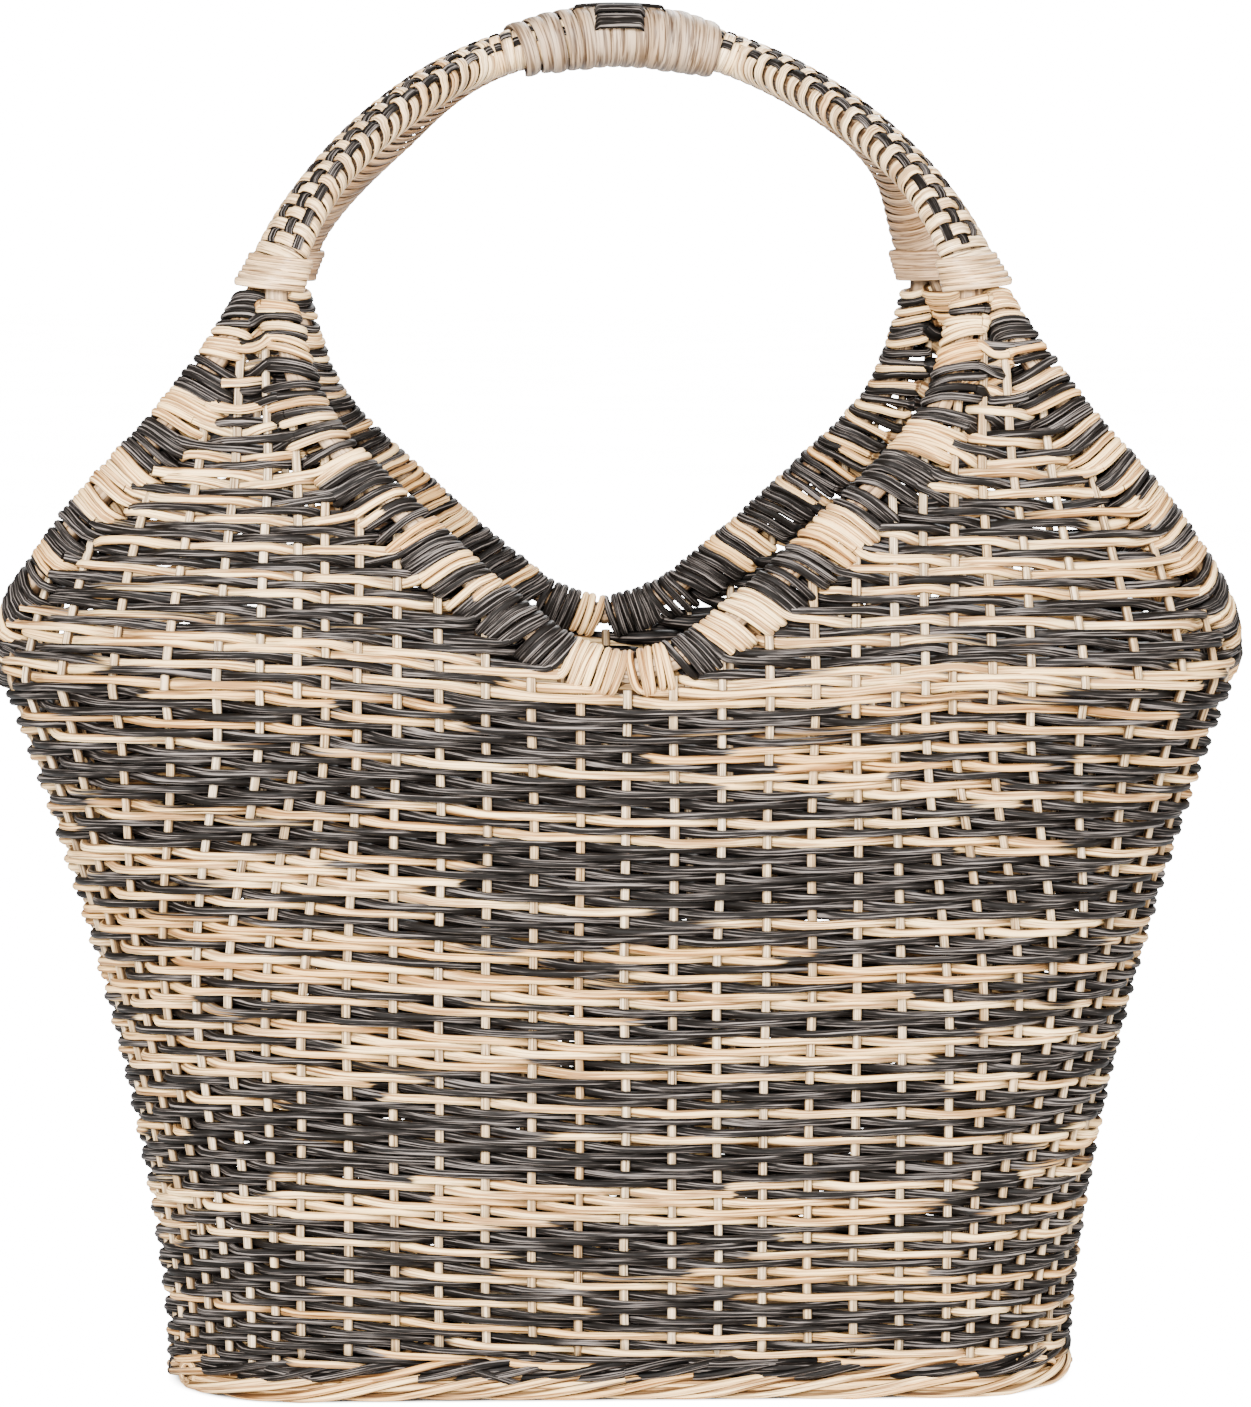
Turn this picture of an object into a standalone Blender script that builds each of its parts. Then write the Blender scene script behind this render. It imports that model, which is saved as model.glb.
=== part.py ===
# Rattan storage basket: a four-peaked woven tote with two hoops bound into one handle.
# Metres, +Z up, the front faces -Y, and the origin is under the middle of the foot.
# A place on the wall is given by u and z: u counts stakes round the basket from the
# middle of the front (u = 0) towards +X, and z is the height of that place.

import math

import bpy
import bmesh
from mathutils import Vector

# Canes and rods
stake_diameter = 0.0032
weaver_thickness = 0.0030
rim_rod_diameter = 0.0080
rim_wrap_diameter = 0.0150
handle_cane_thickness = 0.0022
strip_width = 0.0038
strip_thickness = 0.0010
crown_cane_diameter = 0.0044
collar_cane_diameter = 0.0036

# Clearances
seat_gap = 0.0003
weave_gap = 0.0009
seam_gap = 0.0009
edge_gap = 0.0012
turn_gap = 0.0008
crown_turn_gap = 0.0014
crown_slack = 0.0012
collar_gap = 0.0004

# Foot and base
foot_height = 0.0120
foot_width = 0.0110
mat_thickness = 0.0020
mat_inset = 0.0095
stake_bend = 0.0080
foot_profile_shares = ((-0.7, 0.0), (0.7, 0.0), (1.0, 0.4), (0.6, 1.0), (-0.6, 1.0), (-1.0, 0.4))

# Wall, measured to the middle of its stakes
base_half_width = 0.1560
base_half_depth = 0.0980
flat_half_width = 0.1120
flat_half_depth = 0.0520
side_flare_width = 0.0570
face_flare_depth = 0.0260
side_lean_width = 0.0630
face_lean_depth = 0.0260
rim_low_height = 0.2500
horn_height = 0.1430
flare_power_share = 1.65
side_lean_power_share = 1.4
face_lean_power_share = 1.2
course_count = 3

# Stakes round the wall: half a front, a corner and half a side make a quarter
face_stakes = 7
corner_stakes = 8
side_half_share = 3.5
stake_lean_start = 0.1200
stake_lean_share = 1.7
stake_lean_first_share = 3.0

# Rims: where each rod runs, as shares of its reach and of its rise
front_rim_low = 0.2570
front_rim_rise = 0.1300
front_rim_reach = 0.1135
front_reach_shares = (0.0, 0.12, 0.225, 0.33, 0.45, 0.61, 0.80, 0.90, 0.95, 0.987, 1.0)
front_rise_shares = (0.0, 0.027, 0.069, 0.142, 0.23, 0.362, 0.523, 0.638, 0.753, 0.915, 1.0)
side_rim_low = 0.2500
side_rim_rise = 0.1360
side_rim_push = 0.0030
horn_tip_drop = 0.0022
side_place_shares = (1.0, 0.935, 0.865, 0.80, 0.76, 0.72, 0.68, 0.635, 0.56, 0.52, 0.48, 0.472)
side_rise_shares = (0.0, 0.016, 0.065, 0.155, 0.225, 0.30, 0.41, 0.515, 0.67, 0.772, 0.873, 1.0)
front_wrap_end_steps = 3
side_wrap_end_steps = 1
rim_probe_share = 0.004
place_probe_share = 0.1
horn_weave_end_share = 0.86
horn_row_shares = (0.0, 0.045, 0.08, 0.12, 0.18, 0.27, 0.39, 0.53, 0.68, 0.84, 1.0)

# Handle: each hoop is an arc seen from the front, and leans in to meet the other
hoop_end_out = 0.0021
hoop_end_in = 0.0033
hoop_end_lift = 0.0041
hoop_start_angle = math.radians(20.0)
hoop_half_width = 0.0122
hoop_crown_half_width = 0.0100
hoop_half_thickness = 0.0071
strip_spacing = 0.0053
crown_turns = 14
collar_turns = 3
collar_flare = 0.0018
collar_lift_share = 0.45
winding_square_share = 4.5
hoop_square_share = 2.6
hoop_join_share = 0.30
hoop_splay_share = 0.75

# How finely curves are stepped
horn_level_step = 0.0420
rim_steps = 11
rim_wrap_sides = 8
hoop_steps = 20
hoop_sides = 8
crown_points = 12
collar_points = 10

stakes_to_side = face_stakes + corner_stakes + side_half_share
stakes_round = 4 * stakes_to_side
stake_radius = stake_diameter / 2
rod_radius = rim_rod_diameter / 2
wrap_radius = rim_wrap_diameter / 2
skin_middle = stake_radius + weave_gap + weaver_thickness / 2
lower_layer = foot_height + seat_gap + stake_radius + weave_gap
mat_bottom = lower_layer + stake_radius + seat_gap
upper_layer = mat_bottom + mat_thickness + seat_gap + stake_radius
course_bottom = foot_height + seat_gap
course_top = side_rim_low - wrap_radius - seat_gap
front_width_step = flat_half_width / face_stakes


def clear_scene():
    """Take every object out of the open file."""
    for old in list(bpy.data.objects):
        bpy.data.objects.remove(old, do_unlink=True)


def rattan(name, colour, roughness):
    """One plain cane finish."""
    material = bpy.data.materials.new(name)
    material.use_nodes = True
    shader = material.node_tree.nodes["Principled BSDF"]
    shader.inputs["Base Color"].default_value = (*colour, 1.0)
    shader.inputs["Roughness"].default_value = roughness
    shader.inputs["Metallic"].default_value = 0.0
    material.diffuse_color = (*colour, 1.0)
    return material


def smooth_table(x, xs, ys):
    """Read a smooth curve through the points of a table."""
    last = len(xs) - 1
    if x <= xs[0]:
        return ys[0]
    if x >= xs[last]:
        return ys[last]
    i = max(j for j in range(last) if xs[j] <= x)

    def slope(j):
        low = max(j - 1, 0)
        high = min(j + 1, last)
        return (ys[high] - ys[low]) / (xs[high] - xs[low])

    width = xs[i + 1] - xs[i]
    t = (x - xs[i]) / width
    start = ys[i] * (1 + 2 * t) * (1 - t) ** 2 + slope(i) * width * t * (1 - t) ** 2
    end = ys[i + 1] * t * t * (3 - 2 * t) + slope(i + 1) * width * t * t * (t - 1)
    return start + end


def wall_halves(z):
    """Half the width and half the depth of the wall at a height."""
    rise = min(max(z / rim_low_height, 0.0), 1.0) ** flare_power_share
    lean = max((z - rim_low_height) / horn_height, 0.0)
    half_width = base_half_width + side_flare_width * rise
    half_depth = base_half_depth + face_flare_depth * rise
    half_width -= side_lean_width * lean ** side_lean_power_share
    half_depth -= face_lean_depth * lean ** face_lean_power_share
    return half_width, half_depth


def wall_point(u, z, out=0.0):
    """A place on the wall, or out from it: flat faces joined by elliptic corners."""
    half_width, half_depth = wall_halves(z)
    corner_width = half_width - flat_half_width + out
    corner_depth = half_depth - flat_half_depth + out
    v = u % stakes_round
    mirrored = v > stakes_round / 2
    if mirrored:
        v = stakes_round - v
    behind = v > stakes_to_side
    if behind:
        v = stakes_round / 2 - v
    if v <= face_stakes:
        x = front_width_step * v
        y = flat_half_depth + corner_depth
    elif v <= face_stakes + corner_stakes:
        turn = (v - face_stakes) / corner_stakes * math.pi / 2
        x = flat_half_width + corner_width * math.sin(turn)
        y = flat_half_depth + corner_depth * math.cos(turn)
    else:
        x = flat_half_width + corner_width
        y = flat_half_depth * (stakes_to_side - v) / side_half_share
    return Vector((-x if mirrored else x, y if behind else -y, z))


def stake_place(k, z):
    """Where stake k of the first quarter stands at a height: it leans to the horn."""
    span = stakes_to_side - stake_lean_first_share
    swing = math.sin(math.pi * min(max((k - stake_lean_first_share) / span, 0.0), 1.0)) ** 3
    climb = (z - stake_lean_start) / (rim_low_height - stake_lean_start)
    climb = min(max(climb, 0.0), 1.0)
    return k - stake_lean_share * swing * climb * climb * (3 - 2 * climb)


def front_rim_place(share):
    """u and z of the front rim rod, a share of the way from its low point to its horn."""
    rise = smooth_table(share, front_reach_shares, front_rise_shares)
    x = front_rim_reach * share
    z = front_rim_low + front_rim_rise * rise
    if x <= flat_half_width:
        return x / front_width_step, z
    corner_width = wall_halves(z)[0] - flat_half_width
    turn = math.asin((x - flat_half_width) / corner_width)
    return face_stakes + corner_stakes * turn / (math.pi / 2), z


def side_rim_place(share):
    """u and z of the side rim rod, a share of the way up from its low point."""
    place = smooth_table(share, side_rise_shares, side_place_shares)
    return stakes_to_side * place, side_rim_low + side_rim_rise * share


def rim_share(i, steps, front):
    """Even steps along a rim rod: by reach and rise in front, by a slow start at the side."""
    t = i / steps
    if front:
        return 1 - (1 - t) ** 2
    return t ** 1.5


def place_length(u, z):
    """The length along the wall of one step of u."""
    reach = place_probe_share
    return (wall_point(u + reach, z) - wall_point(u - reach, z)).length / (2 * reach)


def offset_rim(front, away):
    """The rim's line moved down into the weave: u and z pairs from low point to horn."""
    place = front_rim_place if front else side_rim_place
    steps = rim_steps * 4
    line = []
    for i in range(steps + 1):
        share = rim_share(i, steps, front)
        u0, z0 = place(max(share - rim_probe_share, 0.0))
        u1, z1 = place(min(share + rim_probe_share, 1.0))
        u, z = place(share)
        stretch = place_length(u, z)
        du = (u1 - u0) * stretch
        dz = z1 - z0
        length = math.hypot(du, dz)
        if front:
            line.append((u + away * dz / length / stretch, z - away * du / length))
        else:
            line.append((u - away * dz / length / stretch, z + away * du / length))
    return line


def line_u(line, z, below):
    """The u of an offset rim line at a height, or the given value below its low point."""
    if z <= line[0][1]:
        return below
    for (u0, z0), (u1, z1) in zip(line, line[1:]):
        if z0 <= z <= z1:
            return u0 + (u1 - u0) * (z - z0) / (z1 - z0)
    return line[-1][0]


def new_object(name, mesh, material, collection):
    """Put a mesh in the scene as one sub-part."""
    thing = bpy.data.objects.new(name, mesh)
    thing.data.materials.append(material)
    collection.objects.link(thing)
    return thing


def rod(name, points, radius, material, collection):
    """A round rod along a line of points."""
    curve = bpy.data.curves.new(name, "CURVE")
    curve.dimensions = "3D"
    curve.bevel_depth = radius
    curve.bevel_resolution = 1
    curve.use_fill_caps = True
    spline = curve.splines.new("POLY")
    spline.points.add(len(points) - 1)
    for point, place in zip(spline.points, points):
        point.co = (*place, 1.0)
    return new_object(name, curve, material, collection)


def skin(name, rows, closed, thickness, material, collection):
    """A sheet through rows of points, given its thickness on both sides."""
    mesh = bpy.data.meshes.new(name)
    sheet = bmesh.new()
    grid = [[sheet.verts.new(p) for p in row] for row in rows]
    across = len(rows[0])
    for low, high in zip(grid, grid[1:]):
        for j in range(across if closed else across - 1):
            k = (j + 1) % across
            sheet.faces.new((low[j], low[k], high[k], high[j]))
    sheet.to_mesh(mesh)
    sheet.free()
    thing = new_object(name, mesh, material, collection)
    solid = thing.modifiers.new("Thickness", "SOLIDIFY")
    solid.thickness = thickness
    solid.offset = 0.0
    solid.use_even_offset = True
    return thing


def loft(name, rings, closed, material, collection):
    """A solid through rings of points, either joined end to start or capped."""
    mesh = bpy.data.meshes.new(name)
    body = bmesh.new()
    loops = [[body.verts.new(p) for p in ring] for ring in rings]
    across = len(rings[0])
    pairs = list(zip(loops, loops[1:]))
    if closed:
        pairs.append((loops[-1], loops[0]))
    for first, second in pairs:
        for j in range(across):
            k = (j + 1) % across
            body.faces.new((first[j], first[k], second[k], second[j]))
    if not closed:
        body.faces.new(list(reversed(loops[0])))
        body.faces.new(loops[-1])
    bmesh.ops.recalc_face_normals(body, faces=body.faces)
    body.to_mesh(mesh)
    body.free()
    return new_object(name, mesh, material, collection)


def rounded_ring(centre, across, out, half_width, half_thickness, sides, square=2.0):
    """A ring round a centre: an ellipse, or squarer where square is above 2."""
    ring = []
    for i in range(sides):
        turn = 2 * math.pi * (i + 0.5) / sides
        c = math.cos(turn)
        s = math.sin(turn)
        stretch = (abs(c) ** square + abs(s) ** square) ** (-1 / square)
        ring.append(centre + across * (half_width * c * stretch)
                    + out * (half_thickness * s * stretch))
    return ring


def directions(points, i, outward):
    """Along, out and across at a point of a path, with out nearest a given way."""
    along = (points[min(i + 1, len(points) - 1)] - points[max(i - 1, 0)]).normalized()
    out = (outward - along * outward.dot(along)).normalized()
    return along, out, along.cross(out)


def mirrored(points, flip_x, flip_y):
    """Points of the front right quarter in one of the four quarters."""
    return [Vector((-p.x if flip_x else p.x, -p.y if flip_y else p.y, p.z)) for p in points]


def make_foot(material, collection):
    """The plaited foot border: a ring with a flat underside that the basket stands on."""
    half = foot_width / 2
    profile = [(half * side, foot_height * height) for side, height in foot_profile_shares]
    rings = []
    for u in wall_columns():
        rings.append([wall_point(u, 0.0, out) + Vector((0.0, 0.0, height))
                      for out, height in profile])
    return loft("foot_border", rings, True, material, collection)


def make_base_mat(material, collection):
    """The woven base panel, held between the two layers of stakes."""
    outline = [wall_point(u, 0.0, -mat_inset) for u in wall_columns()]
    rings = []
    for height in (mat_bottom, mat_bottom + mat_thickness):
        rings.append([Vector((p.x, p.y, height)) for p in outline])
    return loft("base_mat", rings, False, material, collection)


def quarter_columns():
    """Places along one quarter of the wall: close at the corner and wide on the flats."""
    corner = [face_stakes + i for i in range(corner_stakes + 1)]
    return [0, face_stakes / 2] + corner + [stakes_to_side]


def wall_columns():
    """Places round the whole wall."""
    quarter = quarter_columns()
    half = quarter + [stakes_round / 2 - u for u in reversed(quarter[1:-1])]
    return half + [stakes_round / 2 + u for u in half]


def wall_levels(low, top):
    """Heights between two others, where the weave's rows and the stakes both turn."""
    course = (course_top - course_bottom) / course_count
    levels = [course_bottom + course * i for i in range(1, course_count + 1)]
    levels += [levels[-1] + horn_level_step * i for i in range(1, 3)]
    near = stake_bend
    return [low] + [z for z in levels if low + near < z < top - near] + [top]


def make_courses(materials, collection):
    """The woven wall below the rims: rings of weave, one above the other."""
    names = ("lower_weave", "middle_weave", "upper_weave")
    height = (course_top - course_bottom) / course_count
    for i in range(course_count):
        low = course_bottom + height * i
        rows = []
        for z in (low, low + height - seat_gap):
            rows.append([wall_point(u, z, skin_middle) for u in wall_columns()])
        skin(names[i], rows, True, weaver_thickness, materials[i % 2], collection)


def horn_rows(front_line, side_line):
    """Rows of places across one horn, from the courses' top to its narrow end."""
    low = course_top + seam_gap
    high = side_rim_low + side_rim_rise * horn_weave_end_share
    height = high - low
    rows = []
    join = seat_gap / 2 / front_width_step
    side_join = stakes_to_side - seat_gap / 2 / flat_half_depth * side_half_share
    for rise in horn_row_shares:
        z = low + height * rise
        first = max(line_u(front_line, z, join), join)
        last = min(line_u(side_line, z, side_join), side_join)
        rows.append([(u, z) for u in horn_columns(first, last)])
    return rows


def horn_columns(first, last):
    """Places across one row of a horn, close together where the corner turns."""
    across = len(quarter_columns()) - 1
    if first >= face_stakes:
        return [first + (last - first) * i / across for i in range(across + 1)]
    corner_end = min(last, face_stakes + corner_stakes)
    after = 1 if last > corner_end else 0
    turns = across - 2 - after
    columns = [first, (first + face_stakes) / 2]
    columns += [face_stakes + (corner_end - face_stakes) * i / turns for i in range(turns + 1)]
    return columns + [last] * after


def make_horns(materials, collection):
    """The four peaks of weave between the rims."""
    clear = wrap_radius + edge_gap
    rows = horn_rows(offset_rim(True, clear), offset_rim(False, clear))
    for name, flip_x, flip_y, material in (("front_right_horn_weave", False, False, 0),
                                           ("front_left_horn_weave", True, False, 1),
                                           ("back_right_horn_weave", False, True, 1),
                                           ("back_left_horn_weave", True, True, 0)):
        points = [mirrored([wall_point(u, z, skin_middle) for u, z in row], flip_x, flip_y)
                  for row in rows]
        skin(name, points, False, weaver_thickness, materials[material], collection)


def stake_top(k, front_line, side_line):
    """The height at which a stake meets the line under its rim."""
    z = course_top
    step = stake_radius / 2
    top = side_rim_low + side_rim_rise * horn_weave_end_share
    while z < top:
        u = stake_place(k, z)
        before = z > front_line[0][1] and u < line_u(front_line, z, 0.0)
        past = z > side_line[0][1] and u > line_u(side_line, z, stakes_to_side)
        if before or past:
            break
        z += step
    return z - step


def stake_leg(k, low, top):
    """Points up one stake of the first quarter."""
    return [wall_point(stake_place(k, z), z) for z in wall_levels(low, top)]


def make_cross_stakes(lines, material, collection):
    """Stakes that run up the front, being bent up from the base, and up the back."""
    for n in range(2 * face_stakes + 1):
        k = n - face_stakes
        top = stake_top(abs(k), *lines)
        leg = mirrored(stake_leg(abs(k), lower_layer + stake_bend, top), k < 0, False)
        toe = Vector((leg[0].x, leg[0].y + stake_bend, lower_layer))
        half = list(reversed(leg)) + [toe]
        points = half + mirrored(reversed(half), False, True)
        rod(f"face_stake_{n + 1:02d}", points, stake_radius, material, collection)


def make_side_stakes(lines, material, collection):
    """Stakes that run up one side, over the base mat and up the other side."""
    count = int(2 * side_half_share) + 1
    for n in range(count):
        k = face_stakes + corner_stakes + n
        behind = k > stakes_to_side
        quarter = 2 * stakes_to_side - k if behind else k
        top = stake_top(quarter, *lines)
        leg = mirrored(stake_leg(quarter, upper_layer + stake_bend, top), False, behind)
        toe = Vector((leg[0].x - stake_bend, leg[0].y, upper_layer))
        half = list(reversed(leg)) + [toe]
        points = half + mirrored(reversed(half), True, False)
        rod(f"side_stake_{n + 1}", points, stake_radius, material, collection)


def rim_bend(first, second, line, lines):
    """The place under a rim half way from the top of one stake to the top of the next."""
    z = (stake_top(first, *lines) + stake_top(second, *lines)) / 2
    return wall_point(line_u(line, z, 0.0), z)


def make_corner_stakes(lines, material, collection):
    """The stakes of each corner, bent from one long rod at the foot and under the rim."""
    low = lower_layer + stake_radius
    first = face_stakes + 1
    last = face_stakes + corner_stakes - 1
    points = []
    for k in range(first, last + 1):
        rising = (k - first) % 2 == 0
        leg = stake_leg(k, low + stake_radius, stake_top(k, *lines))
        points += leg if rising else list(reversed(leg))
        if k == last:
            break
        if rising:
            line = lines[0] if k + 1 < face_stakes + 3 else lines[1]
            points.append(rim_bend(k, k + 1, line, lines))
        else:
            points.append(wall_point(k + 0.5, low))
    for name, flip_x, flip_y in (("front_right", False, False), ("front_left", True, False),
                                 ("back_right", False, True), ("back_left", True, True)):
        rod(f"{name}_corner_stakes", mirrored(points, flip_x, flip_y), stake_radius,
            material, collection)


def horn_tip(front):
    """Where a rim rod ends: under the handle's core, side by side with the other rod."""
    frames = hoop_frames(hoop_steps, False)
    point, across = frames[0][:2]
    down = (point - frames[1][0]).normalized()
    side = rod_radius + turn_gap / 2
    return point + across * (-side if front else side) + down * horn_tip_drop


def rim_line(front):
    """The middle line of half a rim, from its low point up to the tip of its horn."""
    line = []
    for i in range(rim_steps):
        share = rim_share(i, rim_steps, front)
        u, z = front_rim_place(share) if front else side_rim_place(share)
        push = 0.0 if front else side_rim_push * (1 - share) ** 2
        line.append(wall_point(u, z, push))
    return line + [horn_tip(front)]


def whole_rim(front, flip):
    """Both halves of a rim, joined at the low point."""
    half = rim_line(front)
    if front:
        other = mirrored(half[1:], True, False)
        line = list(reversed(other)) + half
        return mirrored(line, False, flip)
    other = mirrored(half[1:], False, True)
    line = list(reversed(other)) + half
    return mirrored(line, flip, False)


def make_rims(rod_material, wrap_materials, collection):
    """Rim rods with the weavers' turns round them, front, back and at both sides."""
    names = (("front", True, False, 0), ("back", True, True, 1),
             ("right", False, False, 1), ("left", False, True, 0))
    for name, front, flip, colour in names:
        line = whole_rim(front, flip)
        rod(f"{name}_rim_rod", line, rod_radius, rod_material, collection)
        ends = front_wrap_end_steps if front else side_wrap_end_steps
        bore = (rod_radius + seat_gap) / math.cos(math.pi / rim_wrap_sides)
        middle = (wrap_radius + bore) / 2
        rings = []
        for i in range(ends, len(line) - ends):
            point = line[i]
            outward = Vector((point.x, point.y, 0.0))
            _, out, across = directions(line, i, outward)
            rings.append(rounded_ring(point, across, out, middle, middle, rim_wrap_sides))
        skin(f"{name}_rim_wrap", rings, True, wrap_radius - bore, wrap_materials[colour],
             collection)


def hoop_shape():
    """The hoops' radius, the height of their middle and how far apart their ends stand."""
    tip = wall_point(*front_rim_place(1.0))
    radius = (tip.x + hoop_end_out) / math.cos(hoop_start_angle)
    middle_height = tip.z + hoop_end_lift - radius * math.sin(hoop_start_angle)
    return radius, middle_height, -tip.y - hoop_end_in


def hoop_point(t):
    """A place on the front hoop's middle line, t from 0 at the right to 1 at the left."""
    hoop_radius, middle_height, end_half_depth = hoop_shape()
    turn = hoop_start_angle + (math.pi - 2 * hoop_start_angle) * t
    x = hoop_radius * math.cos(turn)
    z = middle_height + hoop_radius * math.sin(turn)
    side = max(abs(2 * t - 1) - hoop_join_share, 0.0) / (1 - hoop_join_share)
    opening = side ** hoop_splay_share
    closing = opening * opening * (3 - 2 * opening)
    crown_depth = hoop_crown_half_width + seat_gap * 2
    y = crown_depth + (end_half_depth - crown_depth) * closing
    return Vector((x, -y, z))


def hoop_frames(steps, back):
    """Points, outward ways and half widths along a hoop."""
    points = [hoop_point(i / steps) for i in range(steps + 1)]
    points = mirrored(points, False, back)
    middle_height = hoop_shape()[1]
    frames = []
    for i, point in enumerate(points):
        side = abs(2 * i / steps - 1)
        outward = Vector((point.x, point.y * side * side, point.z - middle_height))
        _, out, across = directions(points, i, outward)
        half = hoop_crown_half_width + (hoop_half_width - hoop_crown_half_width) * side
        frames.append((point, across, out, half))
    return frames


def make_hoops(core_material, cane_material, strip_material, collection):
    """Each hoop: a flat core, the cane wound round it and three dark strips on top."""
    cane_middle = handle_cane_thickness / 2
    for name, back in (("front", False), ("back", True)):
        frames = hoop_frames(hoop_steps, back)
        cores = []
        wraps = []
        for point, across, out, half in frames:
            inner = handle_cane_thickness + 2 * seat_gap
            cores.append(rounded_ring(point, across, out, half - inner,
                                      hoop_half_thickness - inner, hoop_sides,
                                      hoop_square_share))
            wraps.append(rounded_ring(point, across, out, half - cane_middle,
                                      hoop_half_thickness - cane_middle, hoop_sides,
                                      hoop_square_share))
        loft(f"{name}_handle_core", cores, False, core_material, collection)
        skin(f"{name}_handle_wrap", wraps, True, handle_cane_thickness,
             cane_material, collection)
        for n in range(3):
            rings = []
            for point, across, out, half in frames[2:-2]:
                side = (n - 1) * strip_spacing * half / hoop_half_width
                lift = hoop_half_thickness + seat_gap * 2 + strip_thickness / 2
                middle = point + across * side + out * lift
                wide = across * (strip_width / 2)
                thick = out * (strip_thickness / 2)
                rings.append([middle - wide - thick, middle + wide - thick,
                              middle + wide + thick, middle - wide + thick])
            loft(f"{name}_handle_strip_{n + 1}", rings, False, strip_material, collection)


def winding(centre_at, turns, points_per_turn):
    """Points of a winding: centre_at gives a centre and two half axes for each share."""
    total = turns * points_per_turn
    line = []
    for i in range(total + 1):
        centre, across, out = centre_at(i / total)
        turn = 2 * math.pi * (i + 0.5) / points_per_turn
        c = math.cos(turn)
        s = math.sin(turn)
        square = winding_square_share
        stretch = (abs(c) ** square + abs(s) ** square) ** (-1 / square)
        line.append(centre + across * (c * stretch) + out * (s * stretch))
    return line


def least_turn_gap(line, points_per_turn, diameter):
    """The least clear distance between neighbouring turns of a winding."""
    least = min((line[i] - line[j]).length
                for i in range(len(line))
                for j in range(i + points_per_turn // 2, min(i + 2 * points_per_turn, len(line))))
    return least - diameter


def make_crown(material, collection):
    """The binding that holds the two hoops together at the top of the handle."""
    radius = crown_cane_diameter / 2
    hoop_radius, middle_height, _ = hoop_shape()
    half_depth = 2 * (hoop_crown_half_width + seat_gap) + turn_gap + radius
    cover = strip_thickness + seat_gap * 2
    half_height = hoop_half_thickness + cover + turn_gap + crown_slack + radius
    spread = crown_turns * (crown_cane_diameter + crown_turn_gap) / hoop_radius

    def centre_at(share):
        turn = math.pi / 2 + spread * (0.5 - share)
        out = Vector((math.cos(turn), 0.0, math.sin(turn)))
        centre = Vector((0.0, 0.0, middle_height)) + out * hoop_radius
        return centre, Vector((0.0, half_depth, 0.0)), out * half_height

    line = winding(centre_at, crown_turns, crown_points)
    gap = least_turn_gap(line, crown_points, crown_cane_diameter)
    print(f"crown binding: {crown_turns} turns, least gap to itself {gap * 1000:.2f} mm")
    rod("crown_binding", line, radius, material, collection)


def make_collars(material, collection):
    """The cane collars where each hoop leaves its horn."""
    radius = collar_cane_diameter / 2
    frames = hoop_frames(hoop_steps, False)
    point, across, out, half = frames[0]
    down = (frames[0][0] - frames[1][0]).normalized()
    height = collar_turns * (collar_cane_diameter + turn_gap)

    def centre_at(share):
        spread = collar_flare * share
        centre = point + down * (height * (share - collar_lift_share))
        wide = half + collar_gap + radius + spread
        thick = hoop_half_thickness + collar_gap + radius + spread
        return centre, across * wide, out * thick

    line = winding(centre_at, collar_turns, collar_points)
    gap = least_turn_gap(line, collar_points, collar_cane_diameter)
    print(f"collars: {collar_turns} turns each, least gap to itself {gap * 1000:.2f} mm")
    for name, flip_x, flip_y in (("front_right", False, False), ("front_left", True, False),
                                 ("back_right", False, True), ("back_left", True, True)):
        rod(f"{name}_collar", mirrored(line, flip_x, flip_y), radius, material, collection)


def main():
    clear_scene()
    collection = bpy.data.collections.new("rattan_storage_basket")
    bpy.context.scene.collection.children.link(collection)
    pale = rattan("pale_weaver", (0.66, 0.50, 0.34), 0.6)
    dark = rattan("dark_weaver", (0.07, 0.068, 0.07), 0.6)
    stake_cane = rattan("stake_cane", (0.58, 0.47, 0.34), 0.65)
    handle_cane = rattan("handle_cane", (0.70, 0.57, 0.43), 0.5)
    core_rod = rattan("core_rod", (0.62, 0.45, 0.28), 0.7)
    weave = (pale, dark)
    clear = wrap_radius + edge_gap + stake_radius
    lines = (offset_rim(True, clear), offset_rim(False, clear))
    make_foot(dark, collection)
    make_base_mat(pale, collection)
    make_courses(weave, collection)
    make_horns(weave, collection)
    make_cross_stakes(lines, stake_cane, collection)
    make_side_stakes(lines, stake_cane, collection)
    make_corner_stakes(lines, stake_cane, collection)
    make_rims(core_rod, weave, collection)
    make_hoops(core_rod, handle_cane, dark, collection)
    make_crown(handle_cane, collection)
    make_collars(handle_cane, collection)


main()
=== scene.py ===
import math

import bpy
import numpy as np
from mathutils import Matrix, Vector


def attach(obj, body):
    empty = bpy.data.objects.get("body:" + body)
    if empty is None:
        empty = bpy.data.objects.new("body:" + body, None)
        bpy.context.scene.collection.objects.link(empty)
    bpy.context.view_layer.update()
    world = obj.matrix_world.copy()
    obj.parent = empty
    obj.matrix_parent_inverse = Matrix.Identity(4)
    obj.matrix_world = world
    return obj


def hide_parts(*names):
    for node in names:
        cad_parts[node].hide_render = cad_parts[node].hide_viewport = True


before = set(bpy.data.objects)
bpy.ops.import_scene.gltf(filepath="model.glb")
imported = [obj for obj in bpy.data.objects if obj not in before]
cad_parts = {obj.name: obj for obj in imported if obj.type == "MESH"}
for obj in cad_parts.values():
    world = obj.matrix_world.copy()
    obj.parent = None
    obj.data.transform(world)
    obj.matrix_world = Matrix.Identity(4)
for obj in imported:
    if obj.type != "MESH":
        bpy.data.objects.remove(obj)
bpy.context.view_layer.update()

# The wall, as in the part's source
base_half_width = 0.1560
base_half_depth = 0.0980
side_flare_width = 0.0570
face_flare_depth = 0.0260
side_lean_width = 0.0630
face_lean_depth = 0.0260
flare_power = 1.65
side_lean_power = 1.4
face_lean_power = 1.2
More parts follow.
